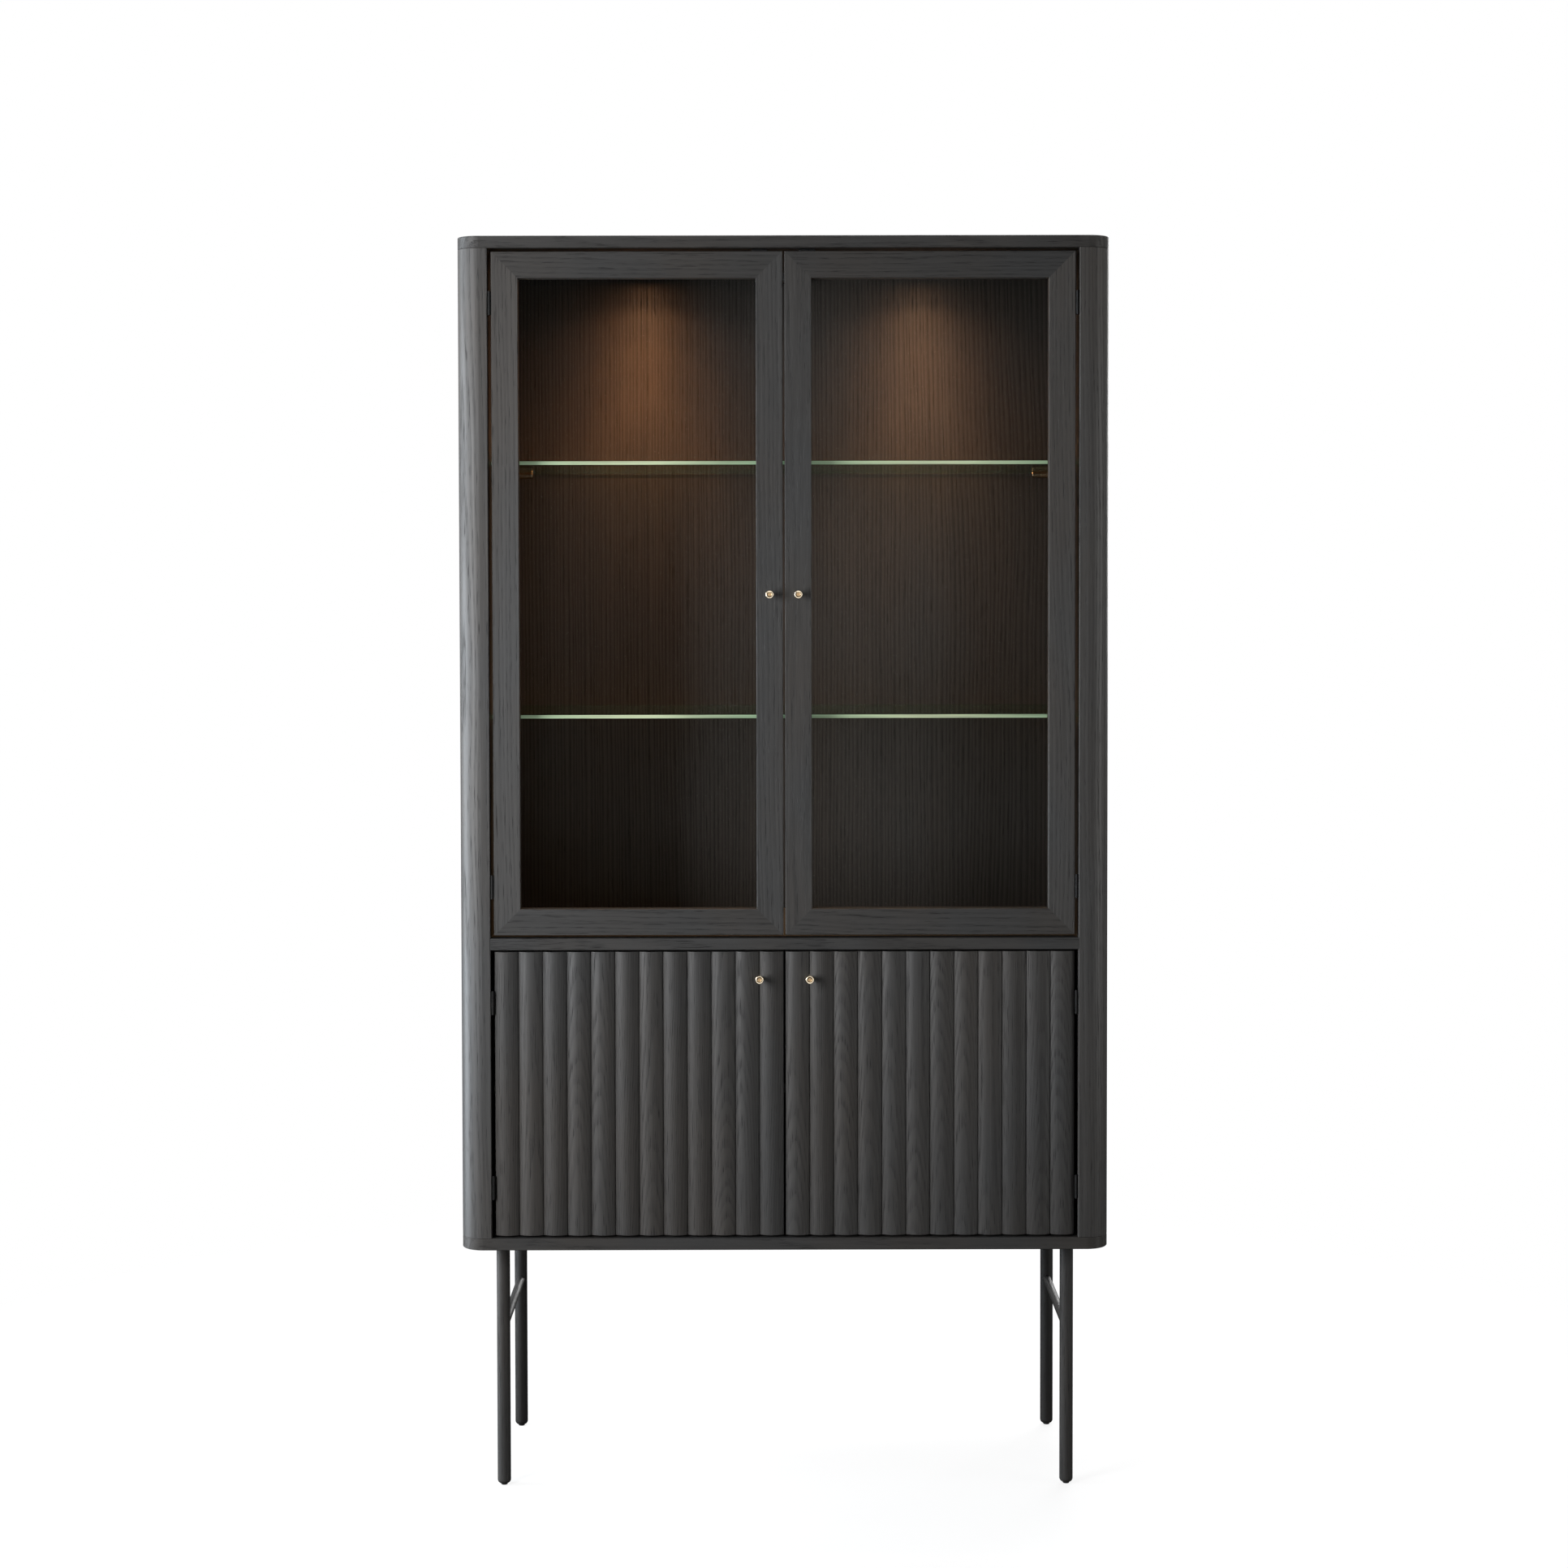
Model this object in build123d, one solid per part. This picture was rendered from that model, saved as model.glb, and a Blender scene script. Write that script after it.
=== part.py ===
from build123d import *
import os

# A free-standing display cabinet: two glazed doors above, two ribbed doors below, on four round legs.
# Millimetres. +X is to the right seen from the front, the doors face -Y, +Z is up.
# The origin is on the floor, under the middle of the whole object with its door knobs.

# ---------------------------------------------------------------- overall size
WIDTH = 980.0
DEPTH = 400.0
HEIGHT = 1900.0
KNOB_REACH = 17.0  # how far the knobs stand out past the front of the case
FRONT = KNOB_REACH - (DEPTH + KNOB_REACH) / 2
REAR = FRONT + DEPTH

# ---------------------------------------------------------------- case
BOARD = 18.0
CASE_BOTTOM = 374.0
MIDDLE_TOP = 847.0
WALL = 47.0
POST_DEPTH = 40.0
CORNER_RADIUS = 34.0
EASE = 0.8
TOP_UNDERSIDE = HEIGHT - BOARD
BOTTOM_TOP = CASE_BOTTOM + BOARD
MIDDLE_UNDERSIDE = MIDDLE_TOP - BOARD
INNER_X = WIDTH / 2 - WALL

# ---------------------------------------------------------------- back panel, held in a groove all round
BACK_THICKNESS = 8.0
BACK_INSET = 10.0
GROOVE_DEPTH = 8.0
GROOVE_PLAY = 0.5
BACK_FACE = REAR - BACK_INSET - BACK_THICKNESS
GROOVE_X = INNER_X + GROOVE_DEPTH

# ---------------------------------------------------------------- shelves and their pins
GLASS_SHELF_THICKNESS = 6.0
GLASS_SHELF_TOPS = (1182.0, 1566.0)
SHELF_SETBACK = 42.0
SHELF_PLAY = 1.0
SHELF_REAR_PLAY = 2.0
SHELF_CORNER = 3.0
GLASS_PIN_RADIUS = 5.0
GLASS_PIN_REACH = 41.0
GLASS_PIN_SETBACKS = (60.0, 312.0)
PIN_TIP_ROUNDING = 0.45  # share of the pin's radius
PIN_IN_WALL = 12.0
WOOD_SHELF_TOP = 620.0
WOOD_SHELF_THICKNESS = 16.0
WOOD_PIN_RADIUS = 3.0
WOOD_PIN_REACH = 9.0
WOOD_PIN_SETBACKS = (80.0, 330.0)

# ---------------------------------------------------------------- doors
HINGE_GAP = 5.5
CENTRE_GAP = 3.0
DOOR_RECESS = 3.5
DOOR_THICKNESS = 22.0
DOOR_FRONT = FRONT + DOOR_RECESS
DOOR_REAR = DOOR_FRONT + DOOR_THICKNESS
DOOR_OUTER = INNER_X - HINGE_GAP
DOOR_INNER = CENTRE_GAP / 2
DOOR_WIDTH = DOOR_OUTER - DOOR_INNER
UPPER_DOOR_Z = (MIDDLE_TOP + 4.0, TOP_UNDERSIDE - 5.0)
LOWER_DOOR_Z = (BOTTOM_TOP + 3.5, MIDDLE_UNDERSIDE - 3.0)

# glazed door frame: mitred members, rebated at the back for the pane and its beads
MEMBER = 40.0
FRONT_LIP = 10.0
REBATE = 8.0
PANE_THICKNESS = 4.0
PANE_PLAY = 1.0
BEAD_BEVEL = 3.0

# ribbed door: a flat panel faced with bowed slats
SLAT_COUNT = 12
SLAT_PITCH = DOOR_WIDTH / SLAT_COUNT
SLAT_JOINT = 0.4
SLAT_CREST = 7.5
SLAT_EDGE = 2.0
SLAT_CREST_RECESS = 2.0
PANEL_FRONT = FRONT + SLAT_CREST_RECESS + SLAT_CREST
PANEL_THICKNESS = DOOR_REAR - PANEL_FRONT

# ---------------------------------------------------------------- butt hinges
HINGE_HEIGHT = 34.0
HINGE_FROM_TOP = 77.0
HINGE_FROM_BOTTOM = 73.0
LEAF_THICKNESS = 1.2
LEAF_DEPTH = 20.0
BARREL_RADIUS = 2.3
PIN_RADIUS = 1.2
PIN_RUNNING_PLAY = 0.05
PIN_HEAD_RADIUS = 1.9
PIN_HEAD = 1.0
KNUCKLE_GAP = 0.3
HINGE_AXIS_X = INNER_X - HINGE_GAP / 2
HINGE_AXIS_Y = DOOR_FRONT
HINGE_SCREW_OFFSET = 10.0
HINGE_SCREW_SETBACK = 13.0

# ---------------------------------------------------------------- knobs, catches, screws
KNOB_HEAD_RADIUS = 6.0
KNOB_HEAD = 9.0
KNOB_NECK_RADIUS = 3.6
KNOB_BASE_RADIUS = 4.8
KNOB_BASE = 2.0
KNOB_DIMPLE_RADIUS = 2.6
KNOB_DIMPLE = 0.9
KNOB_FACE_ROUNDING = 1.0
KNOB_BACK_BEVEL = 1.6
KNOB_HOLE_PLAY = 0.4
KNOB_THREAD_RADIUS = 2.0
KNOB_THREAD_DEPTH = 9.0
KNOB_FRONT = FRONT - KNOB_REACH
UPPER_KNOB = (DOOR_INNER + MEMBER / 2, sum(UPPER_DOOR_Z) / 2)
LOWER_KNOB = (DOOR_INNER + SLAT_PITCH, LOWER_DOOR_Z[1] - 40.0)
CATCH_X = 36.0
CATCH_SIZE = (24.0, 14.0, 12.0)
CATCH_CORNER = 1.5
STRIKE_SIZE = (16.0, 1.0, 14.0)
STRIKE_FROM_TOP = 2.0
STRIKE_CORNER = 2.0
CATCH_GAP = 0.3
SCREW_RADIUS = 1.5
SCREW_HEAD_RADIUS = 2.8
SCREW_HEAD = 1.3
SCREW_LENGTH = 14.0
STRIKE_SCREW_LENGTH = 12.0
BACK_SCREW_LENGTH = 30.0
CATCH_SCREW_LENGTH = 26.0
MACHINE_HEAD_RADIUS = 4.0
MACHINE_HEAD = 2.0

# ---------------------------------------------------------------- legs
LEG_RADIUS = 10.25
LEG_X = 431.0
LEG_SETBACK = 54.0
LEG_TOE = 6.0
GLIDE_RADIUS = 5.0
GLIDE_HEIGHT = 2.0
PLATE_RADIUS = 30.0
PLATE_THICKNESS = 3.0
STUD_RADIUS = 4.0
STUD_LENGTH = 30.0
PLATE_SCREWS = 3
PLATE_SCREW_RADIUS = 2.0
PLATE_SCREW_HEAD = 3.6
PLATE_SCREW_CIRCLE = 22.0
RAIL_HEIGHT = 242.0
RAIL_RADIUS = 6.5
TENON_RADIUS = 4.0
TENON_DEPTH = 8.0
LEG_TOP = CASE_BOTTOM - PLATE_THICKNESS

# ---------------------------------------------------------------- lights under the top
LIGHT_X = 225.0
LIGHT_Y = BACK_FACE - 100.0
LIGHT_RADIUS = 32.0
LIGHT_HEIGHT = 7.0
LIGHT_ROUNDING = 1.0
LENS_RADIUS = 26.0
LENS_THICKNESS = 2.0
LENS_RECESS = 0.5
LEAD_RADIUS = 1.5
LEAD_Z = TOP_UNDERSIDE - 2.5
LEAD_TURNS = (104.0, 62.0)
LEAD_BEND = 30.0
DRIVER_SIZE = (70.0, 30.0, 14.0)
DRIVER_Y = BACK_FACE - 35.0
DRIVER_CORNER = 3.0
CLIP_SIZE = (6.0, 10.0, 4.6)
CLIP_CORNER = 1.0
CLIP_SPOTS = (170.0, 128.0)
GROMMET_X = 24.0  # behind the lock stile of the right door
GROMMET_Z = TOP_UNDERSIDE - 30.0
GROMMET_RADIUS = 13.0
GROMMET_SLEEVE = 11.0
GROMMET_BORE = 8.0
GROMMET_FLANGE = 2.0
GROMMET_ROUNDING = 1.0
BACK_SCREWS_X = (-300.0, 0.0, 300.0)

SIDES = {"left": -1, "right": 1}


def block(x, y, z):
    """Box between two limits on each axis, each given as a (low, high) pair."""
    centre = ((x[0] + x[1]) / 2, (y[0] + y[1]) / 2, (z[0] + z[1]) / 2)
    return Pos(*centre) * Box(x[1] - x[0], y[1] - y[0], z[1] - z[0])


def rod(radius, start, direction, length):
    """Round bar from a start point along a direction."""
    return Plane(origin=start, z_dir=direction) * Cylinder(
        radius, length, align=(Align.CENTER, Align.CENTER, Align.MIN)
    )


def screw(start, direction, length, radius=SCREW_RADIUS, head=SCREW_HEAD_RADIUS):
    """Countersunk wood screw whose flat head lies at the start point."""
    shank = rod(radius, start, direction, length)
    cone = Plane(origin=start, z_dir=direction) * Cone(
        head, radius, SCREW_HEAD, align=(Align.CENTER, Align.CENTER, Align.MIN)
    )
    return shank + cone


def on_side(shape, side):
    """A shape drawn for the right side, kept there or mirrored to the left."""
    return shape if side > 0 else mirror(shape, about=Plane.YZ)


def save(name, shapes):
    """One node as one STEP file: a single solid, or a group of separate ones."""
    solids = [solid for shape in shapes for solid in shape.solids()]
    group = solids[0] if len(solids) == 1 else Compound(solids)
    group.label = name
    export_step(group, f"parts/{name}.step")


# ---------------------------------------------------------------- screws of the case
def hinge_heights(door_z):
    """Lower ends of the hinges of a door."""
    low = door_z[0] + HINGE_FROM_BOTTOM - HINGE_HEIGHT / 2
    high = door_z[1] - HINGE_FROM_TOP - HINGE_HEIGHT / 2
    return (low, high)


ALL_HINGE_HEIGHTS = hinge_heights(UPPER_DOOR_Z) + hinge_heights(LOWER_DOOR_Z)


def leaf_screws(door_z, toward_door):
    """Right-hand screws through the hinge leaves of one door, into the wall or into the door."""
    x = DOOR_OUTER + LEAF_THICKNESS if toward_door else INNER_X - LEAF_THICKNESS
    way = (-1, 0, 0) if toward_door else (1, 0, 0)
    y = HINGE_AXIS_Y + HINGE_SCREW_SETBACK
    screws = []
    for low in hinge_heights(door_z):
        for offset in (-HINGE_SCREW_OFFSET, HINGE_SCREW_OFFSET):
            screws.append(screw((x, y, low + HINGE_HEIGHT / 2 + offset), way, SCREW_LENGTH))
    return screws


def wall_hinge_screws(side):
    """Screws of the four hinge leaves on one wall."""
    screws = leaf_screws(UPPER_DOOR_Z, False) + leaf_screws(LOWER_DOOR_Z, False)
    return [on_side(item, side) for item in screws]


def leg_spots():
    """Leg axes, named from the front."""
    front_y = FRONT + LEG_SETBACK
    rear_y = REAR - LEG_SETBACK
    return {
        "front_left": (-LEG_X, front_y),
        "front_right": (LEG_X, front_y),
        "rear_left": (-LEG_X, rear_y),
        "rear_right": (LEG_X, rear_y),
    }


def plate_screws():
    """Screws that hold the leg plates under the bottom board."""
    screws = []
    for x, y in leg_spots().values():
        for spot in PolarLocations(PLATE_SCREW_CIRCLE, PLATE_SCREWS, start_angle=90):
            start = (x + spot.position.X, y + spot.position.Y, LEG_TOP)
            screws.append(screw(start, (0, 0, 1), SCREW_LENGTH, PLATE_SCREW_RADIUS, PLATE_SCREW_HEAD))
    return screws


def catch_screws():
    """One upright screw through each magnet catch."""
    screws = []
    y = DOOR_REAR + STRIKE_SIZE[1] + CATCH_GAP + CATCH_SIZE[1] / 2
    for top in (TOP_UNDERSIDE, MIDDLE_UNDERSIDE):
        for side in SIDES.values():
            start = (side * CATCH_X, y, top - CATCH_SIZE[2])
            screws.append(screw(start, (0, 0, 1), CATCH_SCREW_LENGTH))
    return screws


def back_screws():
    """Screws through the back panel into the rear edge of the middle board."""
    y, z = REAR - BACK_INSET, MIDDLE_TOP - BOARD / 2
    return [screw((x, y, z), (0, -1, 0), BACK_SCREW_LENGTH) for x in BACK_SCREWS_X]


def without(shape, tools):
    """A shape with every tool cut away."""
    for tool in tools:
        shape = shape - tool
    return shape


# ---------------------------------------------------------------- case pieces
def end_board(low, high, groove_z):
    """Top or bottom board: full size, with front corners that follow the posts."""
    board = block((-WIDTH / 2, WIDTH / 2), (FRONT, REAR), (low, high))
    corners = board.edges().filter_by(Axis.Z).group_by(Axis.Y)[0]
    board = fillet(corners, CORNER_RADIUS)
    rims = board.faces().filter_by(Axis.Z).edges()
    board = chamfer(rims, EASE)
    groove = block((-GROOVE_X, GROOVE_X), (BACK_FACE, BACK_FACE + BACK_THICKNESS), groove_z)
    return board - groove


def top_board():
    """Top board with the groove of the back panel and the holes of its catch screws."""
    board = end_board(TOP_UNDERSIDE, HEIGHT, (TOP_UNDERSIDE, TOP_UNDERSIDE + GROOVE_DEPTH))
    return without(board, catch_screws()[:2])


def bottom_board():
    """Bottom board with the groove of the back panel and the holes of the leg plates' screws."""
    board = end_board(CASE_BOTTOM, BOTTOM_TOP, (BOTTOM_TOP - GROOVE_DEPTH, BOTTOM_TOP))
    return without(board, plate_screws())


def middle_board():
    """Board between the glazed and the ribbed half."""
    z = (MIDDLE_UNDERSIDE, MIDDLE_TOP)
    board = block((-INNER_X, INNER_X), (FRONT, BACK_FACE), z)
    front_edges = board.edges().filter_by(Axis.X).group_by(Axis.Y)[0]
    board = chamfer(front_edges, EASE)
    return without(board, catch_screws()[2:] + back_screws())


def corner_post(side):
    """Front edge of a wall, a solid strip rounded on its outer corner."""
    post = block((INNER_X, WIDTH / 2), (FRONT, FRONT + POST_DEPTH), (BOTTOM_TOP, TOP_UNDERSIDE))
    uprights = post.edges().filter_by(Axis.Z).group_by(Axis.Y)[0].sort_by(Axis.X)
    post = fillet(uprights[-1], CORNER_RADIUS)
    inner = post.edges().filter_by(Axis.Z).group_by(Axis.Y)[0].sort_by(Axis.X)[0]
    post = chamfer(inner, EASE)
    ends = post.faces().filter_by(Axis.Z).edges()
    ends = ends.filter_by(lambda edge: edge.center().Y < FRONT + POST_DEPTH - EASE)
    outer = ends.filter_by(lambda edge: edge.center().X > INNER_X + EASE)
    post = chamfer(outer, EASE / 2)
    return without(on_side(post, side), wall_hinge_screws(side))


def side_panel(side):
    """Wall behind the post, with the groove of the back panel and the holes of the shelf pins."""
    panel = block((INNER_X, WIDTH / 2), (FRONT + POST_DEPTH, REAR), (BOTTOM_TOP, TOP_UNDERSIDE))
    groove = block(
        (INNER_X, GROOVE_X), (BACK_FACE, BACK_FACE + BACK_THICKNESS), (BOTTOM_TOP, TOP_UNDERSIDE)
    )
    return on_side(without(panel - groove, right_shelf_pins()), side)


def back_panel():
    """Thin panel that sits in a groove all round, with the cable outlet."""
    reach_x = GROOVE_X - GROOVE_PLAY
    reach_z = GROOVE_DEPTH - GROOVE_PLAY
    z = (BOTTOM_TOP - reach_z, TOP_UNDERSIDE + reach_z)
    panel = block((-reach_x, reach_x), (BACK_FACE, BACK_FACE + BACK_THICKNESS), z)
    hole = rod(GROMMET_SLEEVE, (GROMMET_X, BACK_FACE, GROMMET_Z), (0, 1, 0), BACK_THICKNESS)
    return without(panel - hole, back_screws())


# ---------------------------------------------------------------- shelves
def shelf_depth():
    """Front and rear limit of every shelf."""
    return (FRONT + SHELF_SETBACK, BACK_FACE - SHELF_REAR_PLAY)


def glass_shelf(top):
    """Glass sheet with rounded corners and ground edges."""
    half = INNER_X - SHELF_PLAY
    sheet = block((-half, half), shelf_depth(), (top - GLASS_SHELF_THICKNESS, top))
    sheet = fillet(sheet.edges().filter_by(Axis.Z), SHELF_CORNER)
    return chamfer(sheet.faces().filter_by(Axis.Z).edges(), EASE / 2)


def wooden_shelf():
    """Shelf of the lower cupboard."""
    half = INNER_X - SHELF_PLAY
    z = (WOOD_SHELF_TOP - WOOD_SHELF_THICKNESS, WOOD_SHELF_TOP)
    shelf = block((-half, half), shelf_depth(), z)
    front_edges = shelf.edges().filter_by(Axis.X).group_by(Axis.Y)[0]
    return chamfer(front_edges, EASE)


def shelf_pin(setback, shelf_underside, radius, reach):
    """Right-hand round pin with a domed, ringed end that stands out of the wall under a shelf."""
    start = (INNER_X + PIN_IN_WALL, FRONT + setback, shelf_underside - radius)
    pin = rod(radius, start, (-1, 0, 0), PIN_IN_WALL + reach)
    tip = pin.edges().sort_by(Axis.X)[0]
    return fillet(tip, radius * PIN_TIP_ROUNDING)


def right_shelf_pins():
    """Pins of the two glass shelves and of the wooden shelf in the right wall."""
    pins = []
    for top in GLASS_SHELF_TOPS:
        for setback in GLASS_PIN_SETBACKS:
            underside = top - GLASS_SHELF_THICKNESS
            pins.append(shelf_pin(setback, underside, GLASS_PIN_RADIUS, GLASS_PIN_REACH))
    for setback in WOOD_PIN_SETBACKS:
        underside = WOOD_SHELF_TOP - WOOD_SHELF_THICKNESS
        pins.append(shelf_pin(setback, underside, WOOD_PIN_RADIUS, WOOD_PIN_REACH))
    return pins


# ---------------------------------------------------------------- glazed doors
def door_x():
    """Inner and outer limit of a right-hand door."""
    return (DOOR_INNER, DOOR_OUTER)


def glazed_ring():
    """The whole right-hand glazed frame before it is cut into its four members."""
    x, z = door_x(), UPPER_DOOR_Z
    ring = block(x, (DOOR_FRONT, DOOR_REAR), z)
    opening = block(
        (x[0] + MEMBER, x[1] - MEMBER), (DOOR_FRONT, DOOR_REAR), (z[0] + MEMBER, z[1] - MEMBER)
    )
    ring = ring - opening
    ring = chamfer(ring.faces().filter_by(Axis.Y).sort_by(Axis.Y)[0].edges(), EASE)
    inset = MEMBER - REBATE
    rebate = block(
        (x[0] + inset, x[1] - inset), (DOOR_FRONT + FRONT_LIP, DOOR_REAR), (z[0] + inset, z[1] - inset)
    )
    return ring - rebate


def mitre_prisms(x, z, width, y):
    """Four trapezium prisms that part a frame at its mitres: outer, inner, top and bottom."""
    (x0, x1), (z0, z1) = x, z
    outlines = {
        "hinge_stile": [(x1, z0), (x1, z1), (x1 - width, z1 - width), (x1 - width, z0 + width)],
        "lock_stile": [(x0, z0), (x0, z1), (x0 + width, z1 - width), (x0 + width, z0 + width)],
        "top_rail": [(x0, z1), (x1, z1), (x1 - width, z1 - width), (x0 + width, z1 - width)],
        "bottom_rail": [(x0, z0), (x1, z0), (x1 - width, z0 + width), (x0 + width, z0 + width)],
    }
    prisms = {}
    for name, corners in outlines.items():
        outline = make_face(Polyline(*[(px, y[0], pz) for px, pz in corners], close=True))
        prisms[name] = extrude(outline, amount=y[1] - y[0], dir=(0, 1, 0))
    return prisms


def glazed_members(side):
    """Stiles and rails of a glazed door, with the holes of its screws."""
    ring = glazed_ring()
    prisms = mitre_prisms(door_x(), UPPER_DOOR_Z, MEMBER, (DOOR_FRONT, DOOR_REAR))
    screws = door_screws(UPPER_DOOR_Z, UPPER_KNOB, DOOR_FRONT)
    members = {}
    for name, prism in prisms.items():
        members[name] = on_side(without(ring & prism, screws), side)
    return members


def pane(side):
    """Pane of a glazed door, with a little play in its rebate."""
    inset = MEMBER - REBATE + PANE_PLAY
    x = (DOOR_INNER + inset, DOOR_OUTER - inset)
    z = (UPPER_DOOR_Z[0] + inset, UPPER_DOOR_Z[1] - inset)
    y = (DOOR_FRONT + FRONT_LIP, DOOR_FRONT + FRONT_LIP + PANE_THICKNESS)
    return on_side(block(x, y, z), side)


def glazing_beads(side):
    """Four mitred strips that hold the pane in its rebate."""
    inset = MEMBER - REBATE
    x = (DOOR_INNER + inset, DOOR_OUTER - inset)
    z = (UPPER_DOOR_Z[0] + inset, UPPER_DOOR_Z[1] - inset)
    y = (DOOR_FRONT + FRONT_LIP + PANE_THICKNESS, DOOR_REAR)
    ring = block(x, y, z) - block((x[0] + REBATE, x[1] - REBATE), y, (z[0] + REBATE, z[1] - REBATE))
    rear_face = ring.faces().filter_by(Axis.Y).sort_by(Axis.Y)[-1]
    ring = chamfer(rear_face.inner_wires()[0].edges(), BEAD_BEVEL)
    prisms = mitre_prisms(x, z, REBATE, y)
    return [on_side(ring & prism, side) for prism in prisms.values()]


# ---------------------------------------------------------------- ribbed doors
def ribbed_panel(side):
    """Flat panel behind the slats, with the holes of its screws."""
    panel = block(door_x(), (PANEL_FRONT, DOOR_REAR), LOWER_DOOR_Z)
    return on_side(without(panel, door_screws(LOWER_DOOR_Z, LOWER_KNOB, PANEL_FRONT)), side)


def slats(side):
    """Upright slats with bowed faces, side by side across the panel."""
    knob_x, knob_z = LOWER_KNOB
    hole_radius = KNOB_BASE_RADIUS + KNOB_HOLE_PLAY
    clearance = rod(hole_radius, (knob_x, KNOB_FRONT, knob_z), (0, 1, 0), DOOR_REAR - KNOB_FRONT)
    made = []
    for index in range(SLAT_COUNT):
        x0 = DOOR_INNER + index * SLAT_PITCH + SLAT_JOINT / 2
        x1 = x0 + SLAT_PITCH - SLAT_JOINT
        edge_y = PANEL_FRONT - SLAT_EDGE
        left = Line((x0, PANEL_FRONT), (x0, edge_y))
        bow = ThreePointArc((x0, edge_y), ((x0 + x1) / 2, PANEL_FRONT - SLAT_CREST), (x1, edge_y))
        right = Line((x1, edge_y), (x1, PANEL_FRONT))
        base = Line((x1, PANEL_FRONT), (x0, PANEL_FRONT))
        section = make_face(Wire([left, bow, right, base]))
        height = LOWER_DOOR_Z[1] - LOWER_DOOR_Z[0]
        slat = Pos(0, 0, LOWER_DOOR_Z[0]) * extrude(section, amount=height, dir=(0, 0, 1))
        made.append(on_side(slat - clearance, side))
    return made


# ---------------------------------------------------------------- door fittings
def knob(place, seat, side):
    """Turned knob: slim base and neck, round head with a shallow dimple, tapped from behind."""
    x, z = place
    out = (0, -1, 0)
    length = seat - KNOB_FRONT
    base = rod(KNOB_BASE_RADIUS, (x, seat, z), out, KNOB_BASE)
    neck = rod(KNOB_NECK_RADIUS, (x, seat, z), out, length - KNOB_HEAD / 2)
    head = rod(KNOB_HEAD_RADIUS, (x, KNOB_FRONT + KNOB_HEAD, z), out, KNOB_HEAD)
    rims = head.edges().filter_by(GeomType.CIRCLE).sort_by(Axis.Y)
    head = fillet(rims[0], KNOB_FACE_ROUNDING)
    head = chamfer(head.edges().filter_by(GeomType.CIRCLE).sort_by(Axis.Y)[-1], KNOB_BACK_BEVEL)
    ball_radius = (KNOB_DIMPLE_RADIUS**2 + KNOB_DIMPLE**2) / (2 * KNOB_DIMPLE)
    dimple = Pos(x, KNOB_FRONT + KNOB_DIMPLE - ball_radius, z) * Sphere(ball_radius)
    thread = rod(KNOB_THREAD_RADIUS, (x, seat, z), out, KNOB_THREAD_DEPTH)
    return on_side(base + neck + head - dimple - thread, side)


def knob_screw(place, seat):
    """Machine screw from the back of the door into the knob."""
    x, z = place
    length = DOOR_REAR - seat + KNOB_THREAD_DEPTH
    shank = rod(KNOB_THREAD_RADIUS, (x, DOOR_REAR, z), (0, -1, 0), length)
    head = rod(MACHINE_HEAD_RADIUS, (x, DOOR_REAR, z), (0, 1, 0), MACHINE_HEAD)
    return shank + fillet(head.edges().sort_by(Axis.Y)[-1], MACHINE_HEAD / 2)


def strike_z(door_z):
    """Lower and upper edge of a strike plate."""
    high = door_z[1] - STRIKE_FROM_TOP
    return (high - STRIKE_SIZE[2], high)


def strike_screw(door_z):
    """Screw through the middle of a strike plate into the door."""
    z = sum(strike_z(door_z)) / 2
    start = (CATCH_X, DOOR_REAR + STRIKE_SIZE[1], z)
    return screw(start, (0, -1, 0), STRIKE_SCREW_LENGTH)


def strike(door_z, side):
    """Steel plate on the back of a door, which the magnet catch pulls on."""
    x = (CATCH_X - STRIKE_SIZE[0] / 2, CATCH_X + STRIKE_SIZE[0] / 2)
    plate = block(x, (DOOR_REAR, DOOR_REAR + STRIKE_SIZE[1]), strike_z(door_z))
    plate = fillet(plate.edges().filter_by(Axis.Y), STRIKE_CORNER)
    return on_side(plate - strike_screw(door_z), side)


def door_screws(door_z, place, seat):
    """Right-hand set of a door: hinge screws, knob screw and strike screw."""
    return leaf_screws(door_z, True) + [knob_screw(place, seat), strike_screw(door_z)]


def magnet_catch(top, side):
    """Small magnet block under a board, just behind the free corner of a door."""
    width, depth, height = CATCH_SIZE
    x = (CATCH_X - width / 2, CATCH_X + width / 2)
    near = DOOR_REAR + STRIKE_SIZE[1] + CATCH_GAP
    body = block(x, (near, near + depth), (top - height, top))
    body = fillet(body.edges().filter_by(Axis.Z), CATCH_CORNER)
    return without(on_side(body, side), catch_screws())


# ---------------------------------------------------------------- hinges
def knuckle_bands(low):
    """Heights of the lower, middle and upper knuckle of a hinge."""
    third = HINGE_HEIGHT / 3
    return (low, low + third), (low + third, low + 2 * third), (low + 2 * third, low + HINGE_HEIGHT)


def barrel(z, radius):
    """Upright bar on the hinge axis between two heights."""
    return rod(radius, (HINGE_AXIS_X, HINGE_AXIS_Y, z[0]), (0, 0, 1), z[1] - z[0])


def leaf_plate(x, low):
    """Flat plate of a hinge leaf between two x limits."""
    return block(x, (HINGE_AXIS_Y, HINGE_AXIS_Y + LEAF_DEPTH), (low, low + HINGE_HEIGHT))


def wall_leaf(low, side):
    """Hinge leaf on the wall, with the two outer knuckles."""
    lower, middle, upper = knuckle_bands(low)
    leaf = leaf_plate((INNER_X - LEAF_THICKNESS, INNER_X), low)
    leaf = leaf - barrel(middle, BARREL_RADIUS + KNUCKLE_GAP)
    leaf = leaf + barrel(lower, BARREL_RADIUS) + barrel(upper, BARREL_RADIUS)
    leaf = leaf - barrel((low, low + HINGE_HEIGHT), PIN_RADIUS)
    screws = leaf_screws(UPPER_DOOR_Z, False) + leaf_screws(LOWER_DOOR_Z, False)
    return on_side(without(leaf, screws), side)


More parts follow.
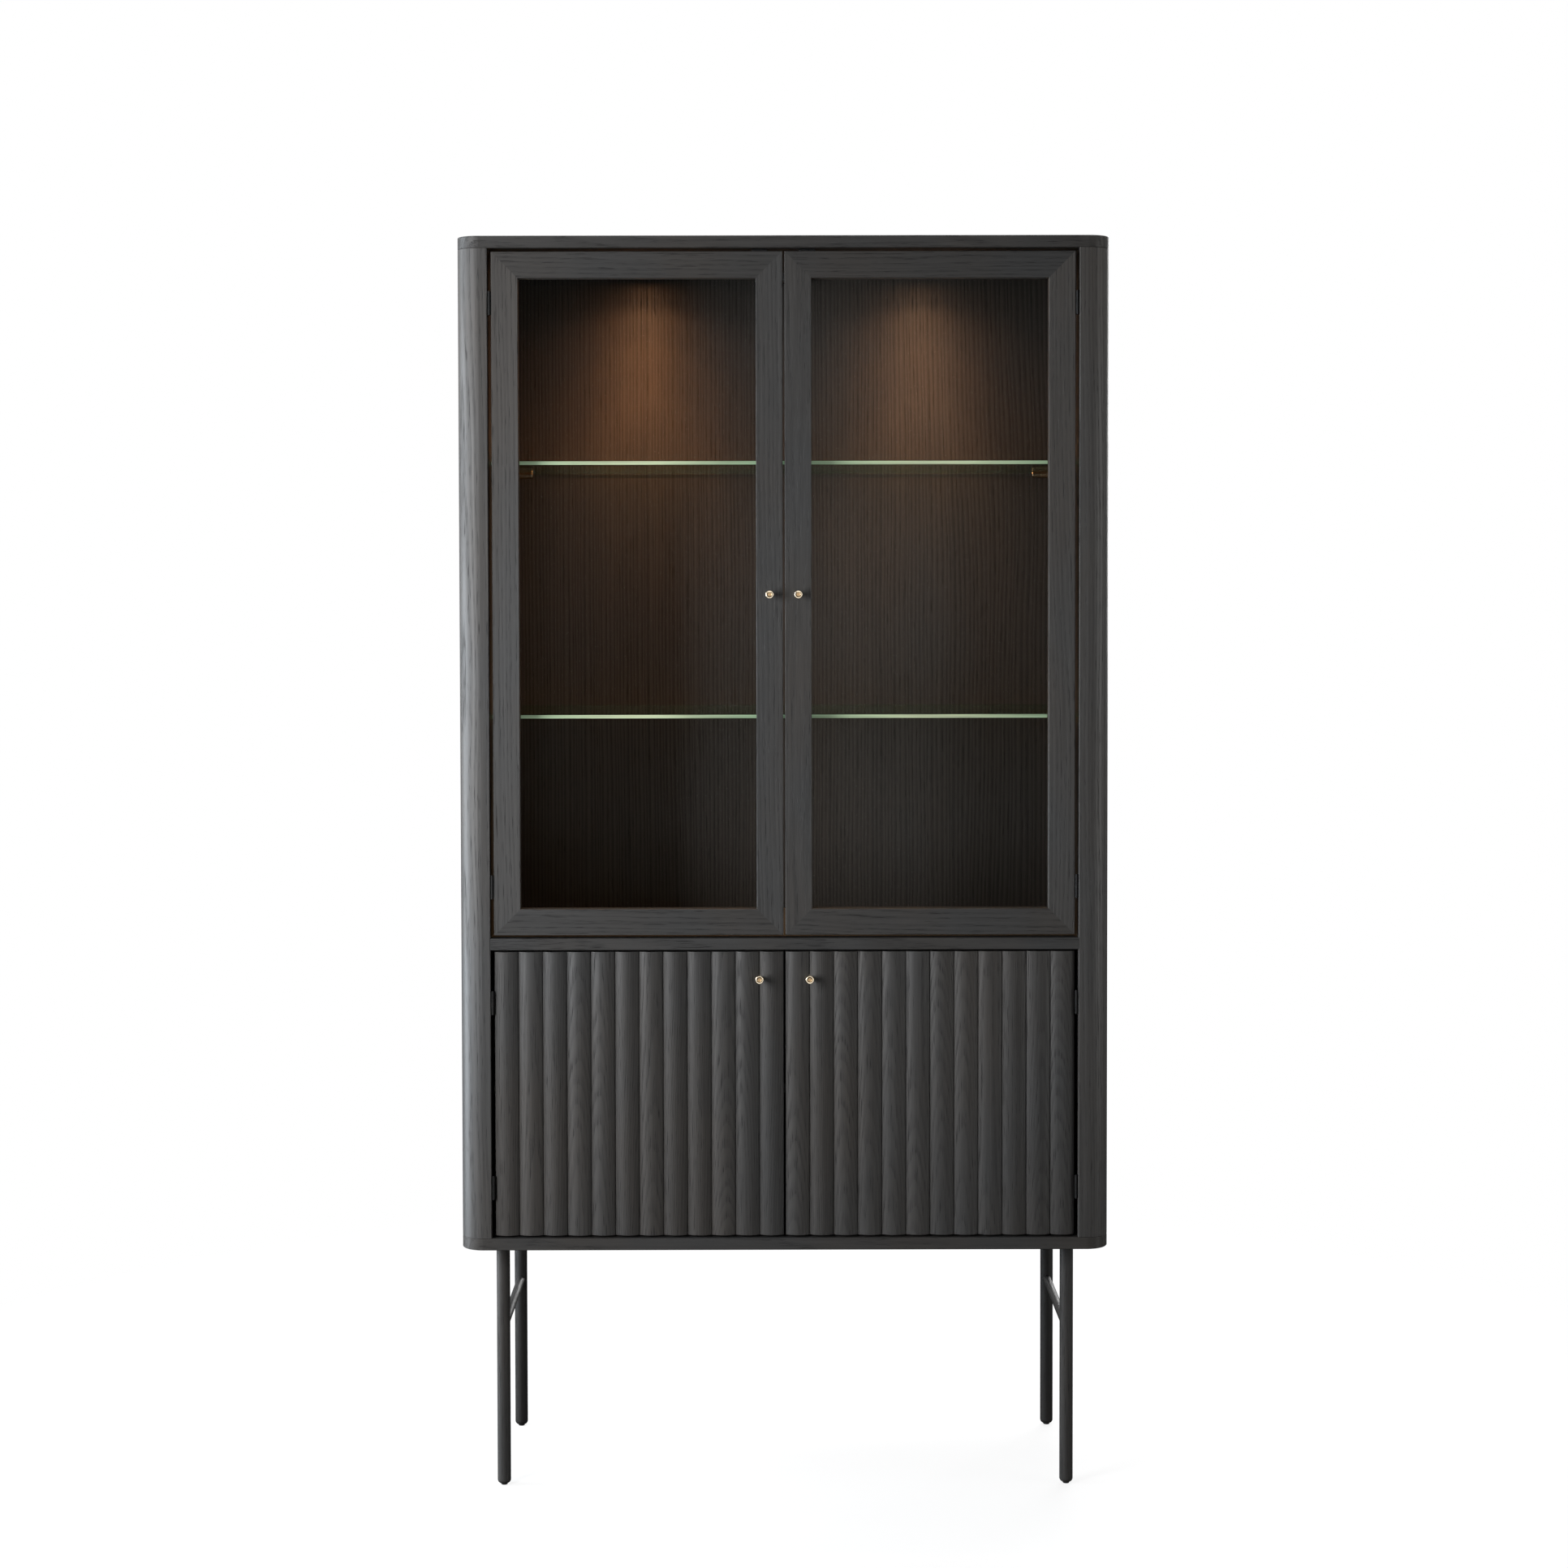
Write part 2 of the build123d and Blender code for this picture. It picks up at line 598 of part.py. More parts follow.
def door_leaf(low, door_z, side):
    """Hinge leaf on the door, with the middle knuckle running free on the pin."""
    lower, middle, upper = knuckle_bands(low)
    leaf = leaf_plate((DOOR_OUTER, DOOR_OUTER + LEAF_THICKNESS), low)
    for band in (lower, upper):
        wide = (band[0] - KNUCKLE_GAP, band[1] + KNUCKLE_GAP)
        leaf = leaf - barrel(wide, BARREL_RADIUS + KNUCKLE_GAP)
    leaf = leaf + barrel((middle[0] + KNUCKLE_GAP, middle[1] - KNUCKLE_GAP), BARREL_RADIUS)
    leaf = leaf - barrel(middle, PIN_RADIUS + PIN_RUNNING_PLAY)
    return on_side(without(leaf, leaf_screws(door_z, True)), side)


def hinge_pin(low, side):
    """Pin fixed in the wall leaf's knuckles, with a flat head at each end."""
    pin = barrel((low, low + HINGE_HEIGHT), PIN_RADIUS)
    foot = barrel((low - PIN_HEAD, low), PIN_HEAD_RADIUS)
    head = barrel((low + HINGE_HEIGHT, low + HINGE_HEIGHT + PIN_HEAD), PIN_HEAD_RADIUS)
    return on_side(pin + foot + head, side)


# ---------------------------------------------------------------- legs
def rail_ends():
    """The front and the rear leg axis on y."""
    return (FRONT + LEG_SETBACK, REAR - LEG_SETBACK)


def tenons(x):
    """Round tenons of one rail, in the front and the rear leg."""
    y0, y1 = rail_ends()
    inset = LEG_RADIUS - TENON_DEPTH
    front = rod(TENON_RADIUS, (x, y0 + inset, RAIL_HEIGHT), (0, 1, 0), TENON_DEPTH)
    rear = rod(TENON_RADIUS, (x, y1 - inset, RAIL_HEIGHT), (0, -1, 0), TENON_DEPTH)
    return front + rear


def leg(x, y):
    """Round leg with a rounded toe, bored for the plate's stud and the rail's tenon."""
    body = rod(LEG_RADIUS, (x, y, GLIDE_HEIGHT), (0, 0, 1), LEG_TOP - GLIDE_HEIGHT)
    body = fillet(body.edges().filter_by(GeomType.CIRCLE).sort_by(Axis.Z)[0], LEG_TOE)
    stud = rod(STUD_RADIUS, (x, y, LEG_TOP - STUD_LENGTH), (0, 0, 1), STUD_LENGTH)
    return without(body - stud, tenons(x).solids())


def leg_rail(x):
    """Round rail between a front and a rear leg, shaped to sit on their round sides."""
    y0, y1 = rail_ends()
    bar = rod(RAIL_RADIUS, (x, y0, RAIL_HEIGHT), (0, 1, 0), y1 - y0)
    low = RAIL_HEIGHT - 2 * RAIL_RADIUS
    for y in (y0, y1):
        bar = bar - rod(LEG_RADIUS, (x, y, low), (0, 0, 1), 4 * RAIL_RADIUS)
    return bar.solids().sort_by(SortBy.VOLUME)[-1] + tenons(x)


def leg_plate(x, y):
    """Round steel plate under the bottom board, with the stud that carries a leg."""
    plate = rod(PLATE_RADIUS, (x, y, LEG_TOP), (0, 0, 1), PLATE_THICKNESS)
    stud = rod(STUD_RADIUS, (x, y, LEG_TOP - STUD_LENGTH), (0, 0, 1), STUD_LENGTH)
    return without(plate + stud, plate_screws())


def leg_glide(x, y):
    """Small round pad under a leg."""
    glide = rod(GLIDE_RADIUS, (x, y, 0), (0, 0, 1), GLIDE_HEIGHT)
    return chamfer(glide.edges().filter_by(GeomType.CIRCLE).sort_by(Axis.Z)[0], EASE / 2)


# ---------------------------------------------------------------- lights
def light_housing(side):
    """Flat round lamp body under the top board, open below for its lens."""
    low = TOP_UNDERSIDE - LIGHT_HEIGHT
    body = rod(LIGHT_RADIUS, (LIGHT_X, LIGHT_Y, low), (0, 0, 1), LIGHT_HEIGHT)
    body = fillet(body.edges().filter_by(GeomType.CIRCLE).sort_by(Axis.Z)[0], LIGHT_ROUNDING)
    recess = rod(LENS_RADIUS, (LIGHT_X, LIGHT_Y, low), (0, 0, 1), LENS_RECESS + LENS_THICKNESS)
    return on_side(body - recess, side)


def light_lens(side):
    """Round frosted lens, a little up inside the lamp body."""
    low = TOP_UNDERSIDE - LIGHT_HEIGHT + LENS_RECESS
    lens = rod(LENS_RADIUS, (LIGHT_X, LIGHT_Y, low), (0, 0, 1), LENS_THICKNESS)
    return on_side(lens, side)


def lead_path():
    """Route of the right lamp's lead: out of the lamp, back towards the driver and into its end."""
    start = (LIGHT_X - LIGHT_RADIUS, LIGHT_Y, LEAD_Z)
    bend_in = (LEAD_TURNS[0], LIGHT_Y, LEAD_Z)
    bend_out = (LEAD_TURNS[1], DRIVER_Y, LEAD_Z)
    end = (DRIVER_SIZE[0] / 2, DRIVER_Y, LEAD_Z)
    return FilletPolyline(start, bend_in, bend_out, end, radius=LEAD_BEND)


def light_lead(side):
    """Lead of one lamp along its route."""
    path = lead_path()
    section = Plane(origin=path @ 0, z_dir=path % 0) * Circle(LEAD_RADIUS)
    return on_side(sweep(section, path=path), side)


def lead_clip(x, side):
    """Small saddle that holds a lead up against the top board."""
    width, depth, height = CLIP_SIZE
    body = block(
        (x - width / 2, x + width / 2),
        (LIGHT_Y - depth / 2, LIGHT_Y + depth / 2),
        (TOP_UNDERSIDE - height, TOP_UNDERSIDE),
    )
    channel = rod(LEAD_RADIUS, (x - width, LIGHT_Y, LEAD_Z), (1, 0, 0), 2 * width)
    return on_side(fillet(body.edges().filter_by(Axis.Z), CLIP_CORNER) - channel, side)


def light_driver():
    """Flat power supply of the lamps, under the middle of the top board."""
    width, depth, height = DRIVER_SIZE
    body = block(
        (-width / 2, width / 2),
        (DRIVER_Y - depth / 2, DRIVER_Y + depth / 2),
        (TOP_UNDERSIDE - height, TOP_UNDERSIDE),
    )
    body = fillet(body.edges().filter_by(Axis.Z), DRIVER_CORNER)
    return chamfer(body.faces().filter_by(Axis.Z).sort_by(Axis.Z)[0].edges(), EASE)


def cable_grommet():
    """Flanged bush that lines the cable outlet in the back panel."""
    front = (GROMMET_X, BACK_FACE, GROMMET_Z)
    rear = (GROMMET_X, BACK_FACE + BACK_THICKNESS, GROMMET_Z)
    sleeve = rod(GROMMET_SLEEVE, front, (0, 1, 0), BACK_THICKNESS)
    flange = rod(GROMMET_RADIUS, rear, (0, 1, 0), GROMMET_FLANGE)
    flange = fillet(flange.edges().filter_by(GeomType.CIRCLE).sort_by(Axis.Y)[-1], GROMMET_ROUNDING)
    bore = rod(GROMMET_BORE, front, (0, 1, 0), BACK_THICKNESS + GROMMET_FLANGE)
    return sleeve + flange - bore


# ---------------------------------------------------------------- write the nodes
def save_case():
    """Writes the boards, walls, shelves, catches and screws."""
    save("top_board", [top_board()])
    save("bottom_board", [bottom_board()])
    save("middle_board", [middle_board()])
    save("back_panel", [back_panel()])
    save("cable_grommet", [cable_grommet()])
    save("glass_shelves", [glass_shelf(top) for top in GLASS_SHELF_TOPS])
    save("wooden_shelf", [wooden_shelf()])
    save("shelf_pins", [on_side(pin, side) for side in SIDES.values() for pin in right_shelf_pins()])
    for name, side in SIDES.items():
        save(f"{name}_corner_post", [corner_post(side)])
        save(f"{name}_side_panel", [side_panel(side)])
    catches = []
    for top in (TOP_UNDERSIDE, MIDDLE_UNDERSIDE):
        catches += [magnet_catch(top, side) for side in SIDES.values()]
    save("magnet_catches", catches)
    wall_screws = [item for side in SIDES.values() for item in wall_hinge_screws(side)]
    save("case_screws", wall_screws + plate_screws() + catch_screws() + back_screws())


def save_hinges():
    """Writes the wall leaves and the pins."""
    places = [(low, side) for side in SIDES.values() for low in ALL_HINGE_HEIGHTS]
    save("wall_hinge_leaves", [wall_leaf(low, side) for low, side in places])
    save("hinge_pins", [hinge_pin(low, side) for low, side in places])


def save_lights():
    """Writes the lamps, their leads and the driver."""
    save("light_housings", [light_housing(side) for side in SIDES.values()])
    save("light_lenses", [light_lens(side) for side in SIDES.values()])
    save("light_leads", [light_lead(side) for side in SIDES.values()])
    save("lead_clips", [lead_clip(x, side) for side in SIDES.values() for x in CLIP_SPOTS])
    save("light_driver", [light_driver()])


def save_legs():
    """Writes the legs, rails, plates and glides."""
    spots = leg_spots()
    for name, (x, y) in spots.items():
        save(f"{name}_leg", [leg(x, y)])
    save("leg_rails", [leg_rail(side * LEG_X) for side in SIDES.values()])
    save("leg_plates", [leg_plate(x, y) for x, y in spots.values()])
    save("leg_glides", [leg_glide(x, y) for x, y in spots.values()])


def save_door_fittings(door, door_z, place, seat, side):
    """Writes the knob, strike plate, hinge leaves and screws of one door."""
    save(f"{door}_knob", [knob(place, seat, side)])
    save(f"{door}_strike", [strike(door_z, side)])
    leaves = [door_leaf(low, door_z, side) for low in hinge_heights(door_z)]
    save(f"{door}_hinge_leaves", leaves)
    save(f"{door}_screws", [on_side(item, side) for item in door_screws(door_z, place, seat)])


def save_doors():
    """Writes the two glazed and the two ribbed doors."""
    for name, side in SIDES.items():
        upper = f"upper_{name}"
        for member, solid in glazed_members(side).items():
            save(f"{upper}_{member}", [solid])
        save(f"{upper}_glass", [pane(side)])
        save(f"{upper}_glazing_beads", glazing_beads(side))
        save_door_fittings(upper, UPPER_DOOR_Z, UPPER_KNOB, DOOR_FRONT, side)
        lower = f"lower_{name}"
        save(f"{lower}_panel", [ribbed_panel(side)])
        save(f"{lower}_slats", slats(side))
        save_door_fittings(lower, LOWER_DOOR_Z, LOWER_KNOB, PANEL_FRONT, side)


def report_lead():
    """Prints the length of a lamp lead and its volume over section times length."""
    length = lead_path().length
    section = Circle(LEAD_RADIUS).area
    print("lead length", round(length, 1), "bend radius", LEAD_BEND)
    print("lead volume over section times length", round(light_lead(1).volume / (length * section), 4))


def main():
    """Writes every node of the cabinet."""
    os.makedirs("parts", exist_ok=True)
    save_case()
    save_hinges()
    save_lights()
    save_legs()
    save_doors()
    report_lead()


main()
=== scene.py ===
"""Looks of a tall black oak display cabinet: finishes, turned and bowed pieces, studio light and camera.

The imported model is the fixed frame. Every place below is worked out from its node boxes, in metres.
"""

import logging
import math
from dataclasses import dataclass, field
from enum import Enum
from typing import Any, Callable, Sequence

import bmesh
import bpy
from mathutils import Matrix, Vector


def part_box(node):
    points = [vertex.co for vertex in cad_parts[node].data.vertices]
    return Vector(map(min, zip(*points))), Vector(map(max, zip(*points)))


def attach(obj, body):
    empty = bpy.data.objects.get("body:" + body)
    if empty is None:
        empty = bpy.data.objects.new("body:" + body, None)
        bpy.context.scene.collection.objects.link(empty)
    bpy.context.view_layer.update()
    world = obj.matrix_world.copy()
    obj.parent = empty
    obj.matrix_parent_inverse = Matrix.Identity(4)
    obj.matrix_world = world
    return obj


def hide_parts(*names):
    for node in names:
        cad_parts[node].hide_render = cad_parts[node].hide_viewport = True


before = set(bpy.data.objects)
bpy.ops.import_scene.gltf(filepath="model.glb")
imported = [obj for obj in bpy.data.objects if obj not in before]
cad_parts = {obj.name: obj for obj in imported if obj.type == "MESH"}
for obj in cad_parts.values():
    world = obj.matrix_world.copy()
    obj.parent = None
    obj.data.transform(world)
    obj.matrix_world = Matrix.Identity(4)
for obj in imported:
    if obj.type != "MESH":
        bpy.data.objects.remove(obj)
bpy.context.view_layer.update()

LOG = logging.getLogger("cabinet")
MM = 0.001
Colour = tuple[float, float, float]
Place = tuple[float, float, float]


class Side(Enum):
    """The two halves of the cabinet, as seen from the front."""

    LEFT = "left"
    RIGHT = "right"


class Level(Enum):
    """The two rows of doors."""

    UPPER = "upper"
    LOWER = "lower"


def grey(value: float) -> Colour:
    """A grey of this brightness."""
    return (value, value, value)


# ---- shader sums
class Link:
    """A value that leaves a shader node and can be used in sums."""

    def __init__(self, shader: "Shader", socket: bpy.types.NodeSocket) -> None:
        """Keeps the socket and the shader that owns it."""
        self.shader = shader
        self.socket = socket

    def math(self, operation: str, *values: Any, clamp: bool = False) -> "Link":
        """Adds one Math node.

        Args:
            operation: the node's operation.
            values: its inputs in order, links or numbers.
            clamp: keeps the result between 0 and 1.

        Returns:
            The node's result.
        """
        settings = {"operation": operation, "use_clamp": clamp}
        return self.shader.add("ShaderNodeMath", settings, dict(enumerate(values)))

    def __add__(self, other: Any) -> "Link":
        """self + other"""
        return self.math("ADD", self, other)

    def __radd__(self, other: Any) -> "Link":
        """other + self"""
        return self.math("ADD", other, self)

    def __sub__(self, other: Any) -> "Link":
        """self - other"""
        return self.math("SUBTRACT", self, other)

    def __rsub__(self, other: Any) -> "Link":
        """other - self"""
        return self.math("SUBTRACT", other, self)

    def __mul__(self, other: Any) -> "Link":
        """self * other"""
        return self.math("MULTIPLY", self, other)

    def __rmul__(self, other: Any) -> "Link":
        """other * self"""
        return self.math("MULTIPLY", other, self)

    def __truediv__(self, other: Any) -> "Link":
        """self / other"""
        return self.math("DIVIDE", self, other)

    def __pow__(self, other: Any) -> "Link":
        """self ** other"""
        return self.math("POWER", self, other)

    def clamped(self) -> "Link":
        """The same value kept between 0 and 1."""
        return self.math("ADD", self, 0.0, clamp=True)

    def part(self) -> "Link":
        """What is left after the whole number below."""
        return self.math("FRACT", self)

    def floor(self) -> "Link":
        """The whole number below."""
        return self.math("FLOOR", self)

    def size(self) -> "Link":
        """The value without its sign."""
        return self.math("ABSOLUTE", self)

    def centred(self) -> "Link":
        """A value from 0 to 1, less the middle of that range."""
        return self - 0.5

    def between(self, low: float, high: float) -> "Link":
        """0 up to low, 1 from high on, and a straight rise between them."""
        return ((self - low) / (high - low)).clamped()


class Shader:
    """The node tree of one material or of the world, with short ways to add nodes."""

    def __init__(self, owner: bpy.types.Material | bpy.types.World) -> None:
        """Empties the owner's node tree.

        Args:
            owner: a material or a world.
        """
        owner.use_nodes = True
        self.owner = owner
        self.tree = owner.node_tree
        self.tree.nodes.clear()

    def add(
        self,
        kind: str,
        settings: dict[str, Any] | None = None,
        values: dict[int | str, Any] | None = None,
        output: int | str = 0,
    ) -> Link | None:
        """Adds one node.

        Args:
            kind: the node's type.
            settings: its properties, set first; "stops" fills a colour ramp with (place, colour) pairs.
            values: numbers, colours or links for its inputs, by name or number.
            output: name or number of the output to hand back.

        Returns:
            That output as a link, or None where the node has no output.
        """
        node = self.tree.nodes.new(kind)
        for name, value in (settings or {}).items():
            if name == "stops":
                self.fill_ramp(node.color_ramp, value)
            else:
                setattr(node, name, value)
        for key, value in (values or {}).items():
            socket = node.inputs[key]
            if isinstance(value, Link):
                self.tree.links.new(value.socket, socket)
            else:
                socket.default_value = (*value, 1.0) if socket.type == "RGBA" else value
        return Link(self, node.outputs[output]) if len(node.outputs) else None

    @staticmethod
    def fill_ramp(ramp: bpy.types.ColorRamp, stops: Sequence[tuple[float, Colour]]) -> None:
        """Writes the stops of a colour ramp.

        Args:
            ramp: the ramp, which starts with two stops.
            stops: (place, colour) pairs in order.
        """
        while len(ramp.elements) < len(stops):
            ramp.elements.new(1.0)
        for element, (place, colour) in zip(ramp.elements, stops):
            element.position = place
            element.color = (*colour, 1.0)

    def ramp(self, factor: Link, stops: Sequence[tuple[float, Colour]]) -> Link:
        """A colour read from a ramp at the factor."""
        return self.add("ShaderNodeValToRGB", {"stops": stops}, {"Fac": factor})

    def fade(self, factor: Link, reach: tuple[float, float], first: Colour, second: Colour) -> Link:
        """A colour that turns from the first into the second as the factor crosses a reach."""
        return self.ramp(factor, list(zip(reach, (first, second))))

    def blend(self, factor: Any, first: Any, second: Any, how: str = "MIX") -> Link:
        """Two colours mixed by a factor, the share of the second."""
        settings = {"data_type": "RGBA", "blend_type": how}
        return self.add("ShaderNodeMix", settings, {0: factor, 6: first, 7: second}, output=2)

    def times(self, first: Any, second: Any) -> Link:
        """Two colours multiplied."""
        return self.blend(1.0, first, second, "MULTIPLY")

    def place(self, stretch: Sequence[float] = (1, 1, 1), shift: Any = (0, 0, 0)) -> Link:
        """The surface point in metres, stretched along each axis and shifted.

        Args:
            stretch: factor along X, Y and Z.
            shift: a vector, as numbers or a link, added afterwards.

        Returns:
            The point as a vector.
        """
        point = self.add("ShaderNodeTexCoord", output="Object")
        times, plus = ({"operation": name} for name in ("MULTIPLY", "ADD"))
        scaled = self.add("ShaderNodeVectorMath", times, {0: point, 1: tuple(stretch)})
        return self.add("ShaderNodeVectorMath", plus, {0: scaled, 1: shift})

    def parts(self, point: Link) -> tuple[Link, Link, Link]:
        """The three coordinates of a point."""
        return tuple(self.add("ShaderNodeSeparateXYZ", None, {0: point}, output=axis) for axis in "XYZ")

    def join(self, x: Any, y: Any, z: Any) -> Link:
        """A point from three coordinates."""
        return self.add("ShaderNodeCombineXYZ", None, {0: x, 1: y, 2: z})

    def chance(self, number: Link) -> Link:
        """A random value from 0 to 1 that belongs to a number."""
        return self.add("ShaderNodeTexWhiteNoise", {"noise_dimensions": "1D"}, {"W": number})

    def value(self, colour: Link) -> Link:
        """The brightness of a grey colour as a number."""
        return self.add("ShaderNodeSeparateColor", None, {0: colour})

    def noise(self, point: Link, detail: float = 2.0, rough: float = 0.5) -> Link:
        """Cloudy noise at a point, from 0 to 1."""
        values = {"Vector": point, "Scale": 1.0, "Detail": detail, "Roughness": rough}
        return self.add("ShaderNodeTexNoise", None, values)

    def even_noise(self, repeats: float, detail: float = 2.0, rough: float = 0.5) -> Link:
        """Noise that repeats as often per metre along every axis."""
        return self.noise(self.place((repeats, repeats, repeats)), detail, rough)

    def bump(self, height: Link, depth: float, share: float) -> Link:
        """A share of the surface normal that a height of 0 to 1 makes, whose 1 is this deep in metres."""
        return self.add("ShaderNodeBump", None, {"Height": height, "Distance": depth, "Strength": share})

    def mirror_share(self) -> Link:
        """Share of light that a clear skin mirrors, the same from both sides."""
        slant = self.add("ShaderNodeLayerWeight", None, {"Blend": 0.5}, output="Facing")
        return 0.04 + 0.96 * slant**5.0

    def camera_ray(self) -> Link:
        """1 where the surface is looked at, 0 where it only lights others."""
        return self.add("ShaderNodeLightPath", output="Is Camera Ray")

    def surface(self, values: dict[str, Any]) -> Link:
        """A Principled shader with these inputs."""
        return self.add("ShaderNodeBsdfPrincipled", None, values)

    def clear(self, colour: Colour) -> Link:
        """A clear skin that lets this colour through."""
        return self.add("ShaderNodeBsdfTransparent", None, {"Color": colour})

    def mirror(self, colour: Colour, rough: Any) -> Link:
        """A mirroring skin."""
        return self.add("ShaderNodeBsdfAnisotropic", None, {"Color": colour, "Roughness": rough})

    def white(self, strength: float, kind: str = "Emission") -> Link:
        """A white glow of a surface, or of the world where the kind is Background."""
        return self.add(f"ShaderNode{kind}", None, {"Color": grey(1.0), "Strength": strength})

    def mix(self, share: Link, first: Link, second: Link) -> Link:
        """Two surfaces mixed by a share of the second."""
        return self.add("ShaderNodeMixShader", None, {0: share, 1: first, 2: second})

    def finish(self, surface: Link) -> bpy.types.Material | bpy.types.World:
        """Sends a surface to the output.

        Args:
            surface: the finished shader.

        Returns:
            The material or world that owns the tree.
        """
        kind = "World" if isinstance(self.owner, bpy.types.World) else "Material"
        self.add(f"ShaderNodeOutput{kind}", None, {"Surface": surface})
        return self.owner


# ---- finishes
class Grain(Enum):
    """The way the wood's fibres run."""

    ACROSS = "x"
    DEEP = "y"
    UPRIGHT = "z"


@dataclass(frozen=True)
class Strand:
    """One layer of the wood's figure, drawn out along the fibres.

    Args:
        across: its repeats per metre across the fibres.
        along: its repeats per metre along the fibres.
        detail: how many finer layers it holds.
        rough: how strong the finer layers are.
        share: how strong it is: brightness of the stain, or metres for a bend of the rings.
        relief: how far it lifts the surface.
    """

    across: float
    along: float
    detail: float = 2.0
    rough: float = 0.5
    share: float = 0.0
    relief: float = 0.0

    def noise(self, shader: Shader, places: Sequence[Link], shift: tuple[float, float]) -> Link:
        """The layer's noise.

        Args:
            shader: the material's node tree.
            places: places across the face, behind it and along the fibres.
            shift: how far the noise is moved across and along.

        Returns:
            A value from 0 to 1.
        """
        across, behind, along = places
        x, z = across * self.across + shift[0], along * self.along + shift[1]
        return shader.noise(shader.join(x, behind * self.across, z), self.detail, self.rough)


@dataclass(frozen=True)
class StainedOak:
    """Open-grained oak under a black stain and a satin lacquer.

    The growth rings are long cylinders round the heart of the tree, cut by the board's face.

    Args:
        grain: the way the fibres run.
        centre: middle of the board, in metres.
        seed: moves the small figure, so that no two boards look alike.
        tone: brightness of the stain, 1 for the door frames.
        warmth: how much of the brown of the wood shows through, 0 to 1.
        contrast: strength of the figure.
        heart: where the tree's heart lies from the board's middle, across its face and behind it.
        lean: how fast the heart nears the face along the board.
        ring: width of one growth ring.
        ring_share: how much the growth rings change the stain.
        slat_pitch: width of one slat where a piece is many slats, or 0.
        slat_start: how far from the cabinet's middle the first slat begins.
    """

    grain: Grain
    centre: Place = (0.0, 0.0, 0.0)
    seed: float = 0.0
    tone: float = 1.0
    warmth: float = 0.03
    contrast: float = 1.0
    heart: tuple[float, float] = (0.16, 0.12)
    lean: float = 0.015
    ring: float = 5.2 * MM
    ring_share: float = 0.15
    slat_pitch: float = 0.0
    slat_start: float = 0.0

    slat_shift: tuple[float, float] = (0.12, 7.0)  # how far apart slats were cut, across and along
    slat_spread: float = 0.16  # difference in brightness between the slats
    ring_change: tuple[float, float] = (60.0, 2.2)  # how often and how much the rings' width changes
    ring_profile: tuple[tuple[float, float], ...] = (  # density of the wood through one ring
        (0.0, 0.0), (0.22, 0.15), (0.62, 1.0), (0.90, 0.75), (1.0, 0.0)
    )
    ring_relief: float = 0.20
    drift: Strand = Strand(5.0, 1.3, 1.0, share=50 * MM)  # slow bend of the rings
    ripple: Strand = Strand(55.0, 6.0, share=3.5 * MM)  # quick bend of the rings
    band: Strand = Strand(34.0, 0.9, share=0.22)
    streak: Strand = Strand(260.0, 4.5, 3.0, 0.6, share=0.42, relief=0.35)
    fibre: Strand = Strand(1000.0, 16.0, 2.0, 0.6, share=0.52, relief=0.25)
    vessel: Strand = Strand(1150.0, 34.0, 1.0, relief=-0.9)
    pore_reach: tuple[float, float] = (0.56, 0.67)  # from where to where a vessel is open
    pore_late: float = 0.14  # fewer pores in the dense wood
    pore_share: float = 0.8
    cloud_repeats: Place = (6.0, 6.0, 3.0)  # slow change of hue and gloss
    rough: float = 0.44
    rough_early: float = 0.10
    rough_pore: float = 0.22
    rough_cloud: float = 0.14
    relief: float = 0.30 * MM
    relief_share: float = 0.8
    shine: float = 0.36

    dark: Colour = (0.0150, 0.0148, 0.0146)
    light: Colour = (0.0780, 0.0765, 0.0750)
    brown_dark: Colour = (0.022, 0.015, 0.011)
    brown_light: Colour = (0.100, 0.070, 0.048)
    pore_dark: Colour = (0.006, 0.0055, 0.005)
    cool: Colour = (0.97, 1.0, 1.02)
    warm: Colour = (1.06, 1.0, 0.94)

    def axes(self, shader: Shader) -> tuple[Link, Link, Link, Any]:
        """The surface point in the board's own directions.

        Args:
            shader: the material's node tree.

        Returns:
            Places across the face, behind it and along the fibres, and the board's chance from 0 to 1.
        """
        x, y, z = shader.parts(shader.place(shift=tuple(-part for part in self.centre)))
        if not self.slat_pitch:
            ways = {Grain.ACROSS: (z, y, x), Grain.DEEP: (z, x, y), Grain.UPRIGHT: (x, y, z)}
            return (*ways[self.grain], 0.5)
        place = (x.size() - self.slat_start) / self.slat_pitch
        slat = place.floor()
        chance = shader.chance(slat + self.seed)
        shift_across, shift_along = self.slat_shift
        across = (place - slat).centred() * self.slat_pitch + chance.centred() * shift_across
        return across, y, z + chance * shift_along, chance

    def rings(self, shader: Shader, places: Sequence[Link]) -> Link:
        """Growth rings where they meet the surface.

        Args:
            shader: the material's node tree.
            places: places across the face, behind it and along the fibres.

        Returns:
            0 in the open early wood, up to 1 in the dense late wood.
        """
        across, behind, along = places
        drift, ripple = (
            layer.share * layer.noise(shader, places, (0.0, self.seed)).centred()
            for layer in (self.drift, self.ripple)
        )
        side = across - self.heart[0]
        depth = behind - self.heart[1] + along * self.lean + drift
        radius = (side * side + depth * depth) ** 0.5 + ripple
        often, much = self.ring_change
        uneven = shader.noise(shader.join(radius * often, self.seed, 0.0), 1.0)
        turn = (radius / self.ring + uneven * much).part()
        stops = [(place, grey(density)) for place, density in self.ring_profile]
        return shader.value(shader.ramp(turn, stops))

